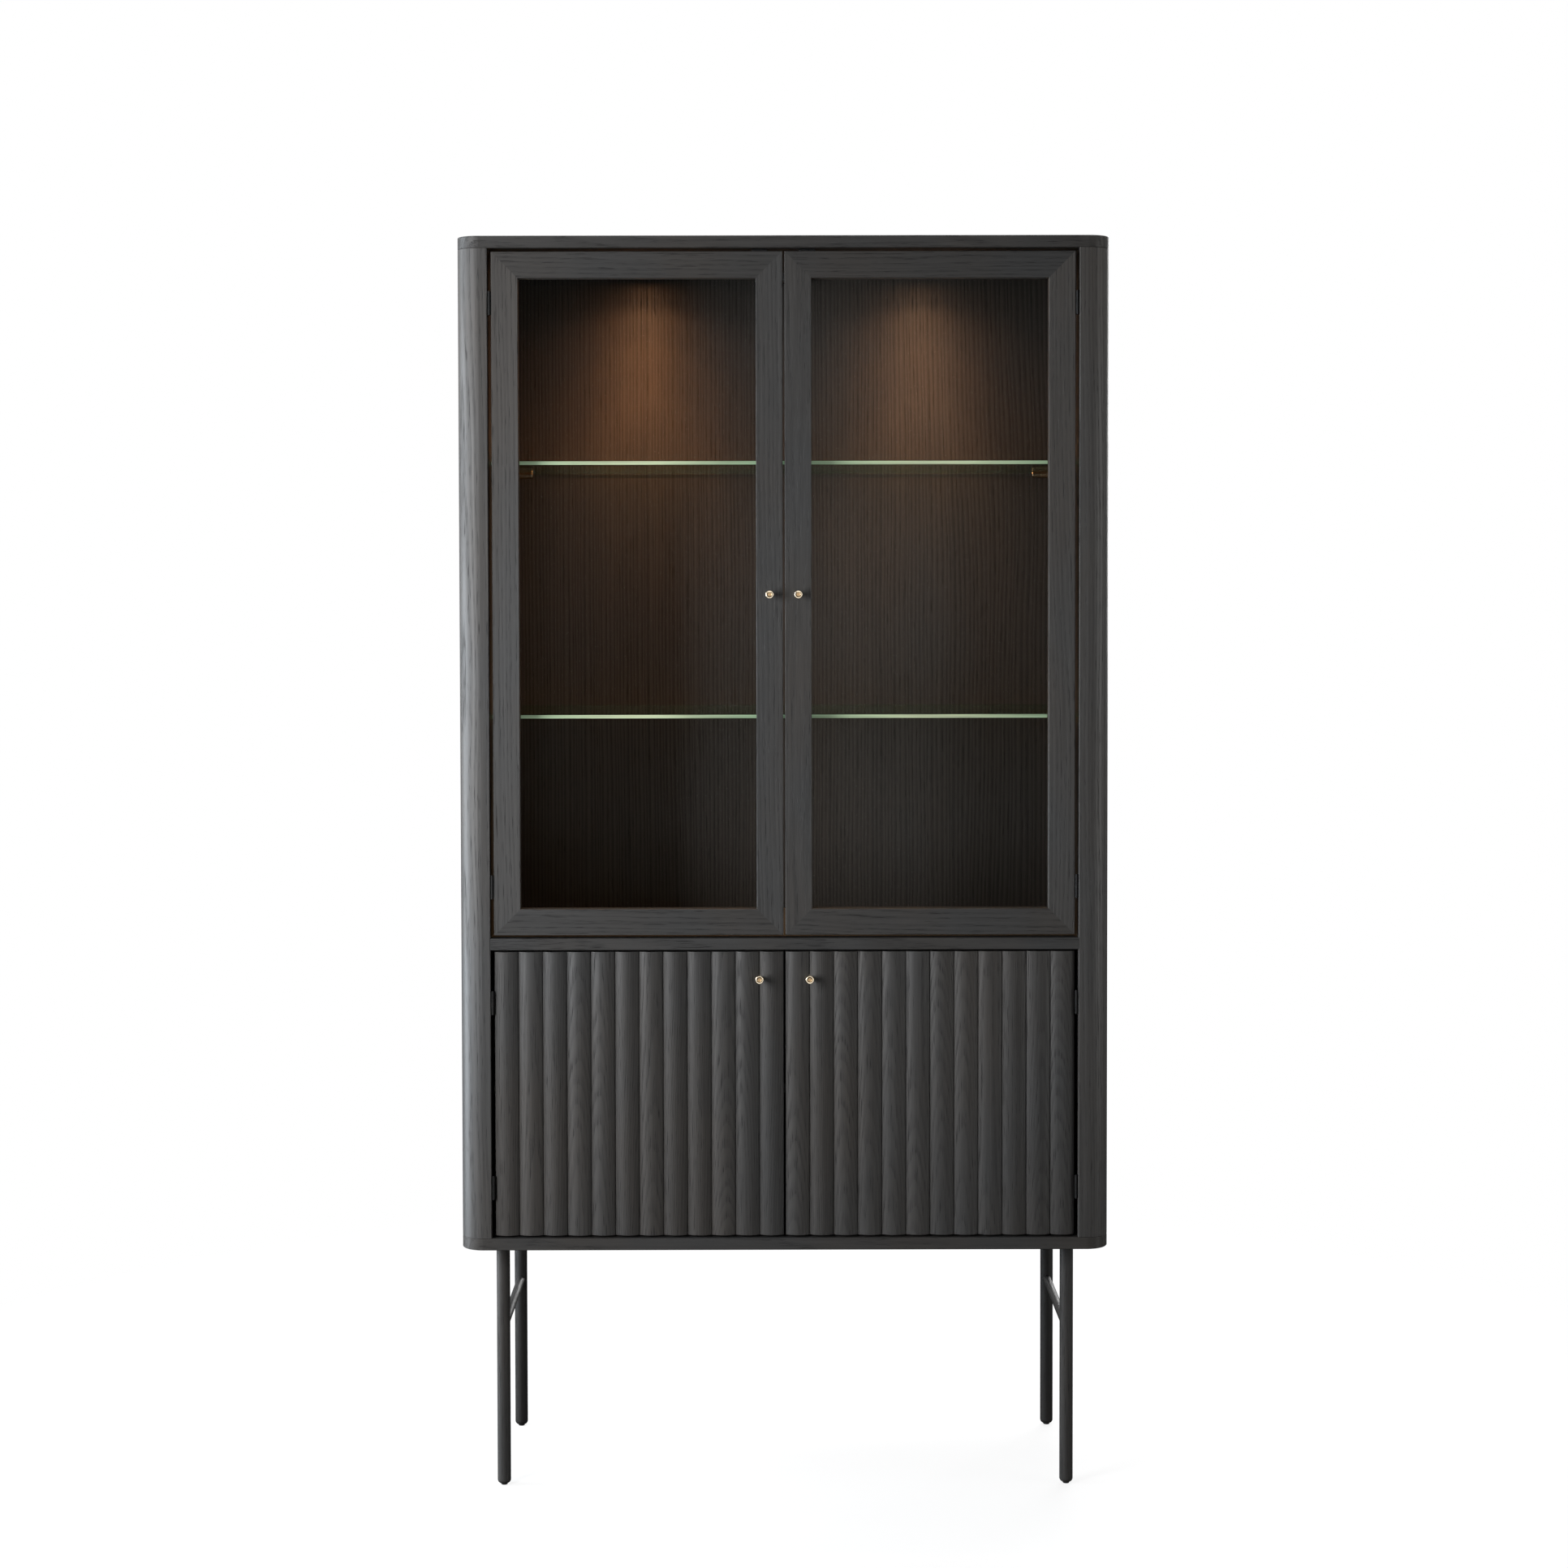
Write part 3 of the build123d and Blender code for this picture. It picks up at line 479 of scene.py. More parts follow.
    def material(self) -> bpy.types.Material:
        """Builds the finish.

        Returns:
            The material.
        """
        shader = Shader(bpy.data.materials.new(f"stained_oak_{self.grain.value}_{self.seed:g}"))
        *places, chance = self.axes(shader)
        ring = self.rings(shader, places)
        start = self.seed * 1.7
        band, streak, fibre, vessel = (
            layer.noise(shader, places, (start, start))
            for layer in (self.band, self.streak, self.fibre, self.vessel)
        )
        pore = (vessel - self.pore_late * ring).between(*self.pore_reach)
        cloud = shader.noise(shader.place(self.cloud_repeats, (start, 0, 0)))
        figure = (
            self.ring_share * ring.centred()
            + self.band.share * band.centred()
            + self.streak.share * streak.centred()
            + self.fibre.share * fibre.centred()
        )
        figure = (figure * self.contrast + 0.5 + (chance - 0.5) * self.slat_spread).clamped()
        black = shader.fade(figure, (0.05, 0.95), self.dark, self.light)
        brown = shader.fade(figure, (0.05, 0.95), self.brown_dark, self.brown_light)
        hue = shader.fade(cloud, (0.35, 0.65), self.cool, self.warm)
        stain = shader.times(shader.blend(self.warmth, black, brown), hue)
        stain = shader.times(stain, grey(self.tone))
        rough = (
            self.rough
            + self.rough_early * (1.0 - ring)
            + self.rough_pore * pore
            + self.rough_cloud * cloud.centred()
        )
        height = (
            self.ring_relief * ring
            + self.streak.relief * streak
            + self.fibre.relief * fibre
            + self.vessel.relief * pore
        )
        values = {
            "Base Color": shader.blend(pore * self.pore_share, stain, self.pore_dark),
            "Roughness": rough.clamped(),
            "Normal": shader.bump(height, self.relief, self.relief_share),
            "Specular IOR Level": self.shine,
        }
        return shader.finish(shader.surface(values))


@dataclass(frozen=True)
class Skin:
    """Skin of a small metal, plastic or rubber part, with worn or dull places and fine marks.

    Args:
        name: what it is, for the material's name.
        colour: its usual colour.
        worn: its colour where it is worn or dull.
        rough: its usual roughness.
        metallic: 1 for bare metal, 0 for paint, plastic or rubber.
        shine: strength of its mirror image, 0.5 for most paint.
    """

    name: str
    colour: Colour
    worn: Colour
    rough: float
    metallic: float = 0.0
    shine: float = 0.5
    cloud: tuple[float, float, float] = (220.0, 3.0, 0.6)  # repeats per metre, detail, roughness
    worn_reach: tuple[float, float] = (0.60, 0.85)  # from where to where the skin is worn
    worn_share: float = 0.5  # how far the worn colour goes
    worn_rough: float = 0.12  # how much rougher worn places are
    marks: Place = (2600.0, 2600.0, 2600.0)  # repeats per metre of the fine marks
    mark_rough: float = 0.05  # how much rougher a mark is
    relief: float = 0.04 * MM  # depth of the marks
    relief_share: float = 0.5

    def material(self) -> bpy.types.Material:
        """Builds the finish.

        Returns:
            The material.
        """
        shader = Shader(bpy.data.materials.new(self.name))
        cloud = shader.even_noise(*self.cloud)
        marks = shader.noise(shader.place(self.marks))
        worn = cloud.between(*self.worn_reach) * self.worn_share
        rough = self.rough + self.worn_rough * cloud.centred() + self.mark_rough * marks
        values = {
            "Base Color": shader.blend(worn, self.colour, self.worn),
            "Metallic": self.metallic,
            "Roughness": rough,
            "Normal": shader.bump(marks, self.relief, self.relief_share),
            "Specular IOR Level": self.shine,
        }
        return shader.finish(shader.surface(values))


def brass(name: str, colour: Colour, tarnish: Colour, rough: float) -> Skin:
    """Brass with faint tool marks and a little tarnish.

    Args:
        name: the material's name.
        colour: its colour where it is clean.
        tarnish: its colour where it has dulled.
        rough: its usual roughness.

    Returns:
        The finish.
    """
    return Skin(
        name,
        colour,
        tarnish,
        rough,
        metallic=1.0,
        cloud=(160.0, 4.0, 0.6),
        worn_reach=(0.52, 0.85),
        worn_share=0.25,
        worn_rough=0.05,
        marks=(900.0, 5200.0, 900.0),
        relief=0.01 * MM,
        relief_share=0.2,
    )


@dataclass(frozen=True)
class PaneGlass:
    """Coated float glass: seen through from the front, with a mirror image that grows at a slant.

    Args:
        tint: what one skin of the glass lets through.
        mirror: colour of the mirror image.
        coating: share of the mirror image that the coating takes away.
    """

    tint: Colour = (0.96, 0.965, 0.96)
    mirror: Colour = (0.22, 0.225, 0.225)
    coating: float = 0.039
    rough: float = 0.02
    smear_rough: float = 0.01
    smear_repeats: Place = (14.0, 14.0, 9.0)  # per metre

    def material(self) -> bpy.types.Material:
        """Builds the finish.

        Returns:
            The material.
        """
        shader = Shader(bpy.data.materials.new("pane_glass"))
        smear = shader.noise(shader.place(self.smear_repeats), 3.0)
        mirror = shader.mirror(self.mirror, self.rough + self.smear_rough * smear)
        share = (shader.mirror_share() - self.coating).clamped()
        return shader.finish(shader.mix(share, shader.clear(self.tint), mirror))


@dataclass(frozen=True)
class ShelfGlass:
    """Thick shelf glass: nearly clear through its faces, pale green on its front edge, which carries painted
    light: a glow that is brightest under the lamps.

    Args:
        face: what one skin of the glass lets through.
        mirror: colour of the dark mirror image at a slant.
        mirror_part: how much of the full mirror image is kept.
        painted_dim_edge: front edge away from the lamps.
        painted_lit_edge: front edge under a lamp.
        edge_deep: what the rear edges let through.
        lamp_x: how far a lamp is from the cabinet's middle.
        glow: strength of the front edge's painted glow, an emission that stands in for the lamplight it
            catches.
    """

    face: Colour = (0.93, 0.965, 0.94)
    mirror: Colour = (0.86, 0.92, 0.87)
    mirror_part: float = 0.85
    # painted light: the front edge's colour and glow go from the lit colour under each lamp to the dim one
    # away from them
    painted_dim_edge: Colour = (0.17, 0.29, 0.18)
    painted_lit_edge: Colour = (0.44, 0.50, 0.33)
    edge_deep: Colour = (0.58, 0.72, 0.62)
    glow: float = 0.37
    edge_turn: tuple[float, float] = (0.35, 0.60)  # how upright a face is that counts as an edge
    front: tuple[float, float] = (0.0, 0.025)  # how far before the middle an edge is the front one
    # painted glow: the rear edges get this share of the front edge's painted light
    rear_painted_glow: float = 0.05  # what the rear edges keep of the front edge's look
    lamp_x: float = 0.225
    lamp_reach: tuple[float, float] = (0.03, 0.22)  # how far from a lamp the edge darkens
    ripple_repeats: Place = (9.0, 9.0, 420.0)
    ripple_tones: tuple[float, float] = (0.72, 1.1)  # brightness between two ripples and on one
    rough: float = 0.30

    def material(self) -> bpy.types.Material:
        """Builds the finish.

        Returns:
            The material.
        """
        shader = Shader(bpy.data.materials.new("shelf_glass"))
        upright = shader.parts(shader.add("ShaderNodeTexCoord", output="Normal"))[2].size()
        x, y, _ = shader.parts(shader.place())
        edge = 1.0 - upright.between(*self.edge_turn)
        # painted light: the front edge, and a little of the rear edges, show an emissive surface instead of
        # clear glass
        front = edge * ((0.0 - y).between(*self.front) + self.rear_painted_glow).clamped()
        # painted shade: the edge is darker the further it lies from the nearest lamp
        far = (x.size() - self.lamp_x).size().between(*self.lamp_reach)
        ripple = shader.noise(shader.place(self.ripple_repeats), 3.0, 0.6)
        tones = (grey(tone) for tone in self.ripple_tones)
        lit = shader.blend(far, self.painted_lit_edge, self.painted_dim_edge)
        lit = shader.times(lit, shader.fade(ripple, (0.3, 0.65), *tones))
        clear = shader.mix(edge, shader.clear(self.face), shader.clear(self.edge_deep))
        mirror = shader.mirror(self.mirror, 0.04)
        sheet = shader.mix(shader.mirror_share() * self.mirror_part, clear, mirror)
        # painted glow: the edge's painted colour is also sent out as emission
        values = {
            "Base Color": lit,
            "Roughness": self.rough + 0.2 * ripple,
            "Emission Color": lit,
            "Emission Strength": self.glow,
        }
        return shader.finish(shader.mix(front, sheet, shader.surface(values)))


@dataclass(frozen=True)
class LampLens:
    """Frosted diffuser, lit warm from behind."""

    glow: Colour = (1.0, 0.60, 0.30)
    shade: Colour = (0.82, 0.47, 0.22)
    power: float = 5.0
    rough: float = 0.4
    frost_repeats: float = 700.0  # per metre

    def material(self) -> bpy.types.Material:
        """Builds the finish.

        Returns:
            The material.
        """
        shader = Shader(bpy.data.materials.new("lamp_lens"))
        frost = shader.even_noise(self.frost_repeats)
        colour = shader.fade(frost, (0.2, 0.8), self.shade, self.glow)
        values = {
            "Base Color": colour,
            "Roughness": self.rough + 0.2 * frost,
            "Emission Color": colour,
            "Emission Strength": self.power,
        }
        return shader.finish(shader.surface(values))


# ---- helpers
def middle(node: str) -> Place:
    """Middle of a node's box."""
    low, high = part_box(node)
    return tuple((a + b) / 2 for a, b in zip(low, high))


def dress(node: str, material: bpy.types.Material) -> None:
    """Gives a CAD node a material through its object's own slots.

    Args:
        node: the node's name.
        material: its finish.
    """
    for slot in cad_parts[node].material_slots:
        slot.link = "OBJECT"
        slot.material = material
    LOG.info("dressed %s with %s", node, material.name)


def add_to_scene(name: str, data: Any) -> bpy.types.Object:
    """Makes an object from its data and puts it in the scene.

    Args:
        name: the object's name.
        data: a mesh, light or camera.

    Returns:
        The object.
    """
    thing = bpy.data.objects.new(name, data)
    bpy.context.scene.collection.objects.link(thing)
    return thing


def new_piece(name: str, mesh: bmesh.types.BMesh, material: bpy.types.Material) -> bpy.types.Object:
    """Turns a bmesh into an object.

    Args:
        name: the piece's name.
        mesh: its faces; it is freed here.
        material: its first material.

    Returns:
        The new object.
    """
    bmesh.ops.recalc_face_normals(mesh, faces=mesh.faces)
    data = bpy.data.meshes.new(name)
    mesh.to_mesh(data)
    mesh.free()
    data.materials.append(material)
    return add_to_scene(name, data)


def smooth(piece: bpy.types.Object, angle_deg: float) -> None:
    """Shades a piece smooth, with a crease where its faces turn by more than the angle."""
    piece.data.shade_smooth()
    piece.data.set_sharp_from_angle(angle=math.radians(angle_deg))


def ease_edges(piece: bpy.types.Object, width: float, segments: int = 3, from_deg: float = 40.0) -> None:
    """Rounds the sharp edges of a piece.

    Args:
        piece: the piece.
        width: width of the rounding, in metres.
        segments: faces across the rounding.
        from_deg: least turn between two faces that counts as an edge.
    """
    bevel = piece.modifiers.new("eased_edges", "BEVEL")
    bevel.width = width
    bevel.segments = segments
    bevel.limit_method = "ANGLE"
    bevel.angle_limit = math.radians(from_deg)
    bevel.harden_normals = True


def lathe(
    profile: Sequence[tuple[float, float]],
    place: Callable[[float, float, float], Vector],
    steps: int,
) -> bmesh.types.BMesh:
    """Turns a solid.

    Args:
        profile: (distance along the axis, radius) pairs; a radius of 0 closes an end.
        place: maps (along, across, up) to a point.
        steps: faces round the axis.

    Returns:
        The bmesh.
    """
    mesh = bmesh.new()
    angles = [2 * math.pi * step / steps for step in range(steps)]
    rings = []
    for along, radius in profile:
        turns = angles if radius else angles[:1]
        spots = [place(along, radius * math.cos(a), radius * math.sin(a)) for a in turns]
        rings.append([mesh.verts.new(spot) for spot in spots])
    for low, high in zip(rings, rings[1:]):
        for step in range(steps):
            after = (step + 1) % steps
            corners = [low[step % len(low)], low[after % len(low)]]
            corners += [high[after % len(high)], high[step % len(high)]]
            mesh.faces.new(list(dict.fromkeys(corners)))
    return mesh


def arc(
    centre: tuple[float, float], radius: float, start_deg: float, end_deg: float, steps: int
) -> list[tuple[float, float]]:
    """Points of an arc.

    Args:
        centre: its centre as (along, radius).
        radius: its radius.
        start_deg: the angle at which it starts.
        end_deg: the angle at which it ends.
        steps: straight stretches that it is made of.

    Returns:
        (along, radius) pairs.
    """
    turn = math.radians(end_deg - start_deg) / steps
    angles = [math.radians(start_deg) + turn * step for step in range(steps + 1)]
    return [(centre[0] + radius * math.cos(a), centre[1] + radius * math.sin(a)) for a in angles]


# ---- sub-assemblies
@dataclass
class Case:
    """Boards, walls, posts and back panel.

    Args:
        board_tone: brightness of the lying boards.
        wall_tone: brightness of posts and side walls.
        board_heart: the tree's heart from the top board's middle.
        board_step: how much further behind it lies from one board to the next.
        back: finish of the back panel, which keeps more of the wood's brown.
    """

    board_tone: float = 0.70
    wall_tone: float = 0.95
    board_heart: tuple[float, float] = (0.08, 0.30)
    board_step: float = 0.02
    back: StainedOak = StainedOak(
        Grain.UPRIGHT,
        middle("back_panel"),
        9.0,
        tone=0.42,
        warmth=0.30,
        contrast=1.35,
        heart=(0.62, 0.22),
        lean=0.01,
        ring=5.6 * MM,
        ring_share=0.34,
    )

    def dress(self) -> None:
        """Gives every fixed wooden piece its own board of oak."""
        across, behind = self.board_heart
        for number, board in enumerate(("top_board", "bottom_board", "middle_board", "wooden_shelf")):
            heart = (across, behind + self.board_step * number)
            oak = StainedOak(Grain.ACROSS, middle(board), 1.0 + number, self.board_tone, heart=heart)
            dress(board, oak.material())
        for number, side in enumerate(Side):
            for seed, name in ((5, "corner_post"), (7, "side_panel")):
                node = f"{side.value}_{name}"
                oak = StainedOak(Grain.UPRIGHT, middle(node), seed + number, self.wall_tone)
                dress(node, oak.material())
        dress("back_panel", self.back.material())


@dataclass
class Shelves:
    """Glass shelves and the pins that carry them."""

    glass: ShelfGlass = ShelfGlass()

    def dress(self, pin_brass: bpy.types.Material) -> None:
        """Gives the shelves their glass and the pins their aged brass."""
        dress("glass_shelves", self.glass.material())
        dress("shelf_pins", pin_brass)


@dataclass
class GlazedDoor:
    """Upper door: mitred frame, pane, beads and fittings.

    Args:
        side: left or right.
        seed: start of the figure of its members.
        plain: the tree's heart for a member with straight grain.
        flamed: the same for a member with pointed figure.
        bead_tone: brightness of the glazing beads.
    """

    side: Side
    seed: float
    plain: tuple[float, float] = (0.14, 0.10)
    flamed: tuple[float, float] = (0.012, 0.035)
    bead_tone: float = 0.8

    def dress(self, glass: bpy.types.Material) -> None:
        """Gives each member its own strip of oak, and the pane its glass.

        Args:
            glass: finish of the pane.
        """
        door = f"upper_{self.side.value}"
        lock_heart = self.flamed if self.side is Side.RIGHT else self.plain
        members = {
            "hinge_stile": (Grain.UPRIGHT, 0.98, self.plain, 1.0),
            "lock_stile": (Grain.UPRIGHT, 0.81, lock_heart, 1.15),
            "top_rail": (Grain.ACROSS, 0.65, self.plain, 0.8),
            "bottom_rail": (Grain.ACROSS, 0.73, (0.11, 0.12), 0.8),
        }
        for number, (member, (grain, tone, heart, contrast)) in enumerate(members.items()):
            node = f"{door}_{member}"
            seed = self.seed + number
            oak = StainedOak(grain, middle(node), seed, tone, contrast=contrast, heart=heart)
            dress(node, oak.material())
        dress(f"{door}_glass", glass)
        beads = f"{door}_glazing_beads"
        oak = StainedOak(Grain.UPRIGHT, middle(beads), self.seed + len(members), self.bead_tone)
        dress(beads, oak.material())


@dataclass
class RibbedDoor:
    """Lower door: flat panel faced with bowed slats.

    Args:
        side: left or right.
        seed: start of the figure of its slats.
        tone: brightness of their stain.
    """

    side: Side
    seed: float
    tone: float = 0.77
    panel_tone: float = 0.7
    slat_count: int = 12
    joint: float = 0.5 * MM  # gap between two slats
    edge: float = 2.0 * MM  # thickness of a slat at its sides
    crest: float = 7.5 * MM  # thickness of a slat at its middle
    ease: float = 0.6 * MM  # rounding of its ends
    crease_deg: float = 35.0
    bow_steps: int = 20

    def __post_init__(self) -> None:
        """Reads the panel's box, which the slats cover."""
        self.panel = f"lower_{self.side.value}_panel"
        self.low, self.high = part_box(self.panel)
        self.pitch = (self.high[0] - self.low[0]) / self.slat_count

    def section(self, x0: float, x1: float) -> list[tuple[float, float]]:
        """Outline of one slat in plan.

        Args:
            x0: its left side.
            x1: its right side.

        Returns:
            (x, y) pairs from its left foot over the bow to its right foot.
        """
        seat = self.low[1]
        middle_x, half = (x0 + x1) / 2, (x1 - x0) / 2
        rise = self.crest - self.edge
        radius = (half**2 + rise**2) / (2 * rise)
        reach = math.asin(half / radius)
        centre = seat - self.crest + radius
        outline = [(x0, seat)]
        for step in range(self.bow_steps + 1):
            angle = -reach + 2 * reach * step / self.bow_steps
            outline.append((middle_x + radius * math.sin(angle), centre - radius * math.cos(angle)))
        outline.append((x1, seat))
        return outline

    def slats(self, oak: bpy.types.Material) -> bpy.types.Object:
        """Builds the slats of the door as one piece with softly rounded ends.

        Args:
            oak: their finish.

        Returns:
            The piece.
        """
        mesh = bmesh.new()
        for index in range(self.slat_count):
            x0 = self.low[0] + index * self.pitch + self.joint / 2
            outline = self.section(x0, x0 + self.pitch - self.joint)
            foot, head = (
                [mesh.verts.new((x, y, level)) for x, y in outline]
                for level in (self.low[2], self.high[2])
            )
            mesh.faces.new(foot)
            mesh.faces.new(head)
            for step in range(len(outline)):
                after = (step + 1) % len(outline)
                mesh.faces.new((foot[step], foot[after], head[after], head[step]))
        piece = new_piece(f"lower_{self.side.value}_bowed_slats", mesh, oak)
        smooth(piece, self.crease_deg)
        ease_edges(piece, self.ease)
        return piece

    def build(self) -> None:
        """Makes the slats, hands them to the door and dresses the panel."""
        oak = StainedOak(
            Grain.UPRIGHT,
            (0.0, self.low[1], (self.low[2] + self.high[2]) / 2),
            self.seed,
            self.tone,
            contrast=1.05,
            heart=(0.0, 0.045),
            lean=0.05,
            ring=2.8 * MM,
            slat_pitch=self.pitch,
            slat_start=min(abs(self.low[0]), abs(self.high[0])),
        )
        piece = self.slats(oak.material())
        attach(piece, f"lower_{self.side.value}_door")
        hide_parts(f"lower_{self.side.value}_slats")
        LOG.info("built %s", piece.name)
        back = StainedOak(Grain.UPRIGHT, middle(self.panel), self.seed + 1, self.panel_tone)
        dress(self.panel, back.material())


@dataclass
class Knob:
    """Turned brass knob of one door: collar, waisted neck and round head with a dished face.

    All its sizes are in millimetres.

    Args:
        level: the door's row.
        side: the door's side.
    """

    level: Level
    side: Side
    neck: float = 3.4
    collar: float = 4.8
    collar_length: float = 2.6
    collar_chamfer: float = 0.4
    collar_round: float = 0.6
    foot_fillet: float = 1.6  # hollow between collar and neck
    foot_centre: float = 4.4
    throat_fillet: float = 2.2  # hollow between neck and head
    throat_gap: float = 1.2
    head_length: float = 9.0
    shoulder: float = 1.6  # rounding of the head's rear edge
    shoulder_gap: float = 2.0
    face_round: float = 0.6
    face_margin: float = 0.8  # how far in from the head's side the flat of the face starts
    dish: tuple[float, float, float] = (3.0, 2.8, 2.5)  # radii of its rim, lip and floor
    lip_depth: float = 0.15
    dish_depth: float = 0.6
    crease_deg: float = 50.0
    steps: int = 72

    def profile(self, length: float, head: float) -> list[tuple[float, float]]:
        """Outline of the knob without its dish.

        Args:
            length: distance from the door to the face.
            head: radius of the head.

        Returns:
            Pairs of distance from the door and radius.
        """
        turn, collar_end = self.collar_round, self.collar_length
        head_start = length - self.head_length
        throat = (head_start - self.throat_gap, self.neck + self.throat_fillet)
        shoulder = (head_start + self.shoulder_gap, head - self.shoulder)
        face = (length - self.face_round, head - self.face_round)
        outline = [(0, 0), (0, self.collar - self.collar_chamfer), (self.collar_chamfer, self.collar)]
        outline.append((collar_end - 2 * turn, self.collar))
        outline += arc((collar_end - turn, self.collar - turn), turn, 90, 0, 5)
        outline += arc((self.foot_centre, self.neck + self.foot_fillet), self.foot_fillet, 230, 270, 5)
        outline += arc(throat, self.throat_fillet, 270, 330, 8)
        outline += arc(shoulder, self.shoulder, 140, 90, 6)
        outline += arc(face, self.face_round, 90, 0, 8)
        outline.append((length, head - self.face_margin))
        return outline

    def hollow(self, length: float) -> list[tuple[float, float]]:
        """Outline of the dish from its rim to its middle, as distance from the door and radius."""
        depths = (0.0, self.lip_depth, self.dish_depth, self.dish_depth)
        return [(length - depth, radius) for depth, radius in zip(depths, (*self.dish, 0.0))]

    def build(self, bright: bpy.types.Material, matt: bpy.types.Material) -> None:
        """Turns the knob in the place of the plain one.

        Args:
            bright: finish of the turned faces.
            matt: finish of the dish in its face.
        """
        door = f"{self.level.value}_{self.side.value}"
        low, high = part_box(f"{door}_knob")
        x, z = (low[0] + high[0]) / 2, (low[2] + high[2]) / 2
        length, head = (high[1] - low[1]) / MM, (high[0] - low[0]) / 2 / MM
        dish = self.hollow(length)
        outline = [(a * MM, r * MM) for a, r in self.profile(length, head) + dish]
        mesh = lathe(outline, lambda a, u, v: Vector((x + u, high[1] - a, z + v)), self.steps)
        piece = new_piece(f"{door}_turned_knob", mesh, bright)
        piece.data.materials.append(matt)
        for face in piece.data.polygons[-(len(dish) - 1) * self.steps :]:
            face.material_index = 1
        smooth(piece, self.crease_deg)
        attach(piece, f"{door}_door")
        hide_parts(f"{door}_knob")
        LOG.info("built %s", piece.name)


@dataclass
class Fittings:
    """Hinges, catches, screws and the other small fittings, with the finish of each kind."""

    black: Skin = Skin("black_metal", grey(0.006), (0.02, 0.019, 0.018), 0.5, shine=0.2)
    steel: Skin = Skin("zinc_steel", (0.42, 0.42, 0.44), (0.30, 0.28, 0.25), 0.38, metallic=1.0)
    plastic: Skin = Skin("black_plastic", (0.014, 0.014, 0.015), (0.022, 0.022, 0.024), 0.55)
    rubber: Skin = Skin("lead_rubber", grey(0.016), grey(0.026), 0.45)

    def dress(self) -> None:
        """Gives each small part its metal or plastic."""
        doors = [f"{level.value}_{side.value}" for level in Level for side in Side]
        black = ["wall_hinge_leaves", "hinge_pins", "light_housings"]
        black += [f"{door}_hinge_leaves" for door in doors]
        steel = ["case_screws", "leg_plates"]
        steel += [f"{door}_{part}" for door in doors for part in ("strike", "screws")]
        plastic = ["magnet_catches", "cable_grommet", "light_driver", "lead_clips", "leg_glides"]
        for finish, nodes in (
            (self.black, black), (self.steel, steel), (self.plastic, plastic), (self.rubber, ["light_leads"])
        ):
            material = finish.material()
            for node in nodes:
                dress(node, material)


@dataclass
class Legs:
    """Four round legs and the rail between each front and rear leg."""

    front_tone: float = 0.76
    # painted shade: the rear legs and the rails are darkened for the shadow under the cabinet
    rear_painted_shade_tone: float = 0.27
    seed: float = 40.0

    def dress(self) -> None:
        """Gives each leg its own stick of oak, with the rear legs and the rails darkened by painted shade."""
        tones = {"front": self.front_tone, "rear": self.rear_painted_shade_tone}
        legs = [(f"{end}_{side.value}_leg", tone) for end, tone in tones.items() for side in Side]
        for number, (node, tone) in enumerate(legs):
            dress(node, StainedOak(Grain.UPRIGHT, middle(node), self.seed + number, tone).material())
        # the rails take the rear legs' painted shade
        rails = StainedOak(Grain.DEEP, middle("leg_rails"), self.seed + 5.0, self.rear_painted_shade_tone)
        dress("leg_rails", rails.material())


@dataclass
class Lamps:
    """Warm downlights under the top board.

    Args:
        beams: power and full width in degrees of the beams of one lamp.
        spill_watts: power that its lens spills to the sides.
        colours: the light's colour and strength on each side.
        emitter_radius: size of the glowing spot, which softens the shadows.
        gap: how far below the lens the light starts.
        lens: finish of the lenses.
    """

    beams: tuple[tuple[float, float], ...] = ((22.0, 72.0), (10.5, 104.0), (5.4, 150.0))
    spill_watts: float = 0.17
    colours: dict[Side, Colour] = field(
        default_factory=lambda: {Side.LEFT: (1.0, 0.465, 0.22), Side.RIGHT: (0.76, 0.39, 0.20)}
    )
    emitter_radius: float = 10 * MM
    gap: float = 2 * MM
    lens: LampLens = LampLens()

    def lights(self, side: Side, lens_radius: float) -> list[bpy.types.Light]:
        """The lights of one lamp.

        Args:
            side: the lamp's side.
            lens_radius: radius of its lens.

        Returns:
            Its spill and its beams.
        """
        spill = bpy.data.lights.new(f"{side.value}_lamp_spill", "AREA")
        spill.shape = "DISK"
        spill.size = lens_radius
        spill.energy = self.spill_watts
        lights = [spill]
        for watts, width_deg in self.beams:
            spot = bpy.data.lights.new(f"{side.value}_lamp_beam_{width_deg:g}", "SPOT")
            spot.energy = watts
            spot.spot_size = math.radians(width_deg)
            spot.spot_blend = 1.0
            spot.shadow_soft_size = self.emitter_radius
            lights.append(spot)
        return lights

    def build(self) -> None:
        """Dresses the lenses and hangs the lights of one lamp under each."""
        dress("light_lenses", self.lens.material())
        low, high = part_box("light_lenses")
        lens_radius = (high[1] - low[1]) / 2
        reach = high[0] - lens_radius
        for side, x in ((Side.LEFT, -reach), (Side.RIGHT, reach)):
            for light in self.lights(side, lens_radius):
                light.color = self.colours[side]
                lamp = add_to_scene(light.name, light)
                lamp.visible_camera = False
                lamp.location = (x, (low[1] + high[1]) / 2, low[2] - self.gap)
                LOG.info("hung %s", lamp.name)


# ---- studio
@dataclass
class SoftBox:
    """One large soft light, in its place and facing its target."""

    name: str
    place: Place
    target: Place
    size: tuple[float, float]  # width and height
    watts: float
    colour: Colour = (1.0, 1.0, 1.0)

    def build(self) -> None:
        """Puts the light in the scene."""
        light = bpy.data.lights.new(self.name, "AREA")
        light.shape = "RECTANGLE"
        light.size, light.size_y = self.size
        light.energy = self.watts
        light.color = self.colour
        lamp = add_to_scene(self.name, light)
        lamp.visible_camera = False
        lamp.location = self.place
        lamp.rotation_mode = "QUATERNION"
        way = Vector(self.target) - Vector(self.place)
        lamp.rotation_quaternion = way.to_track_quat("-Z", "Y")


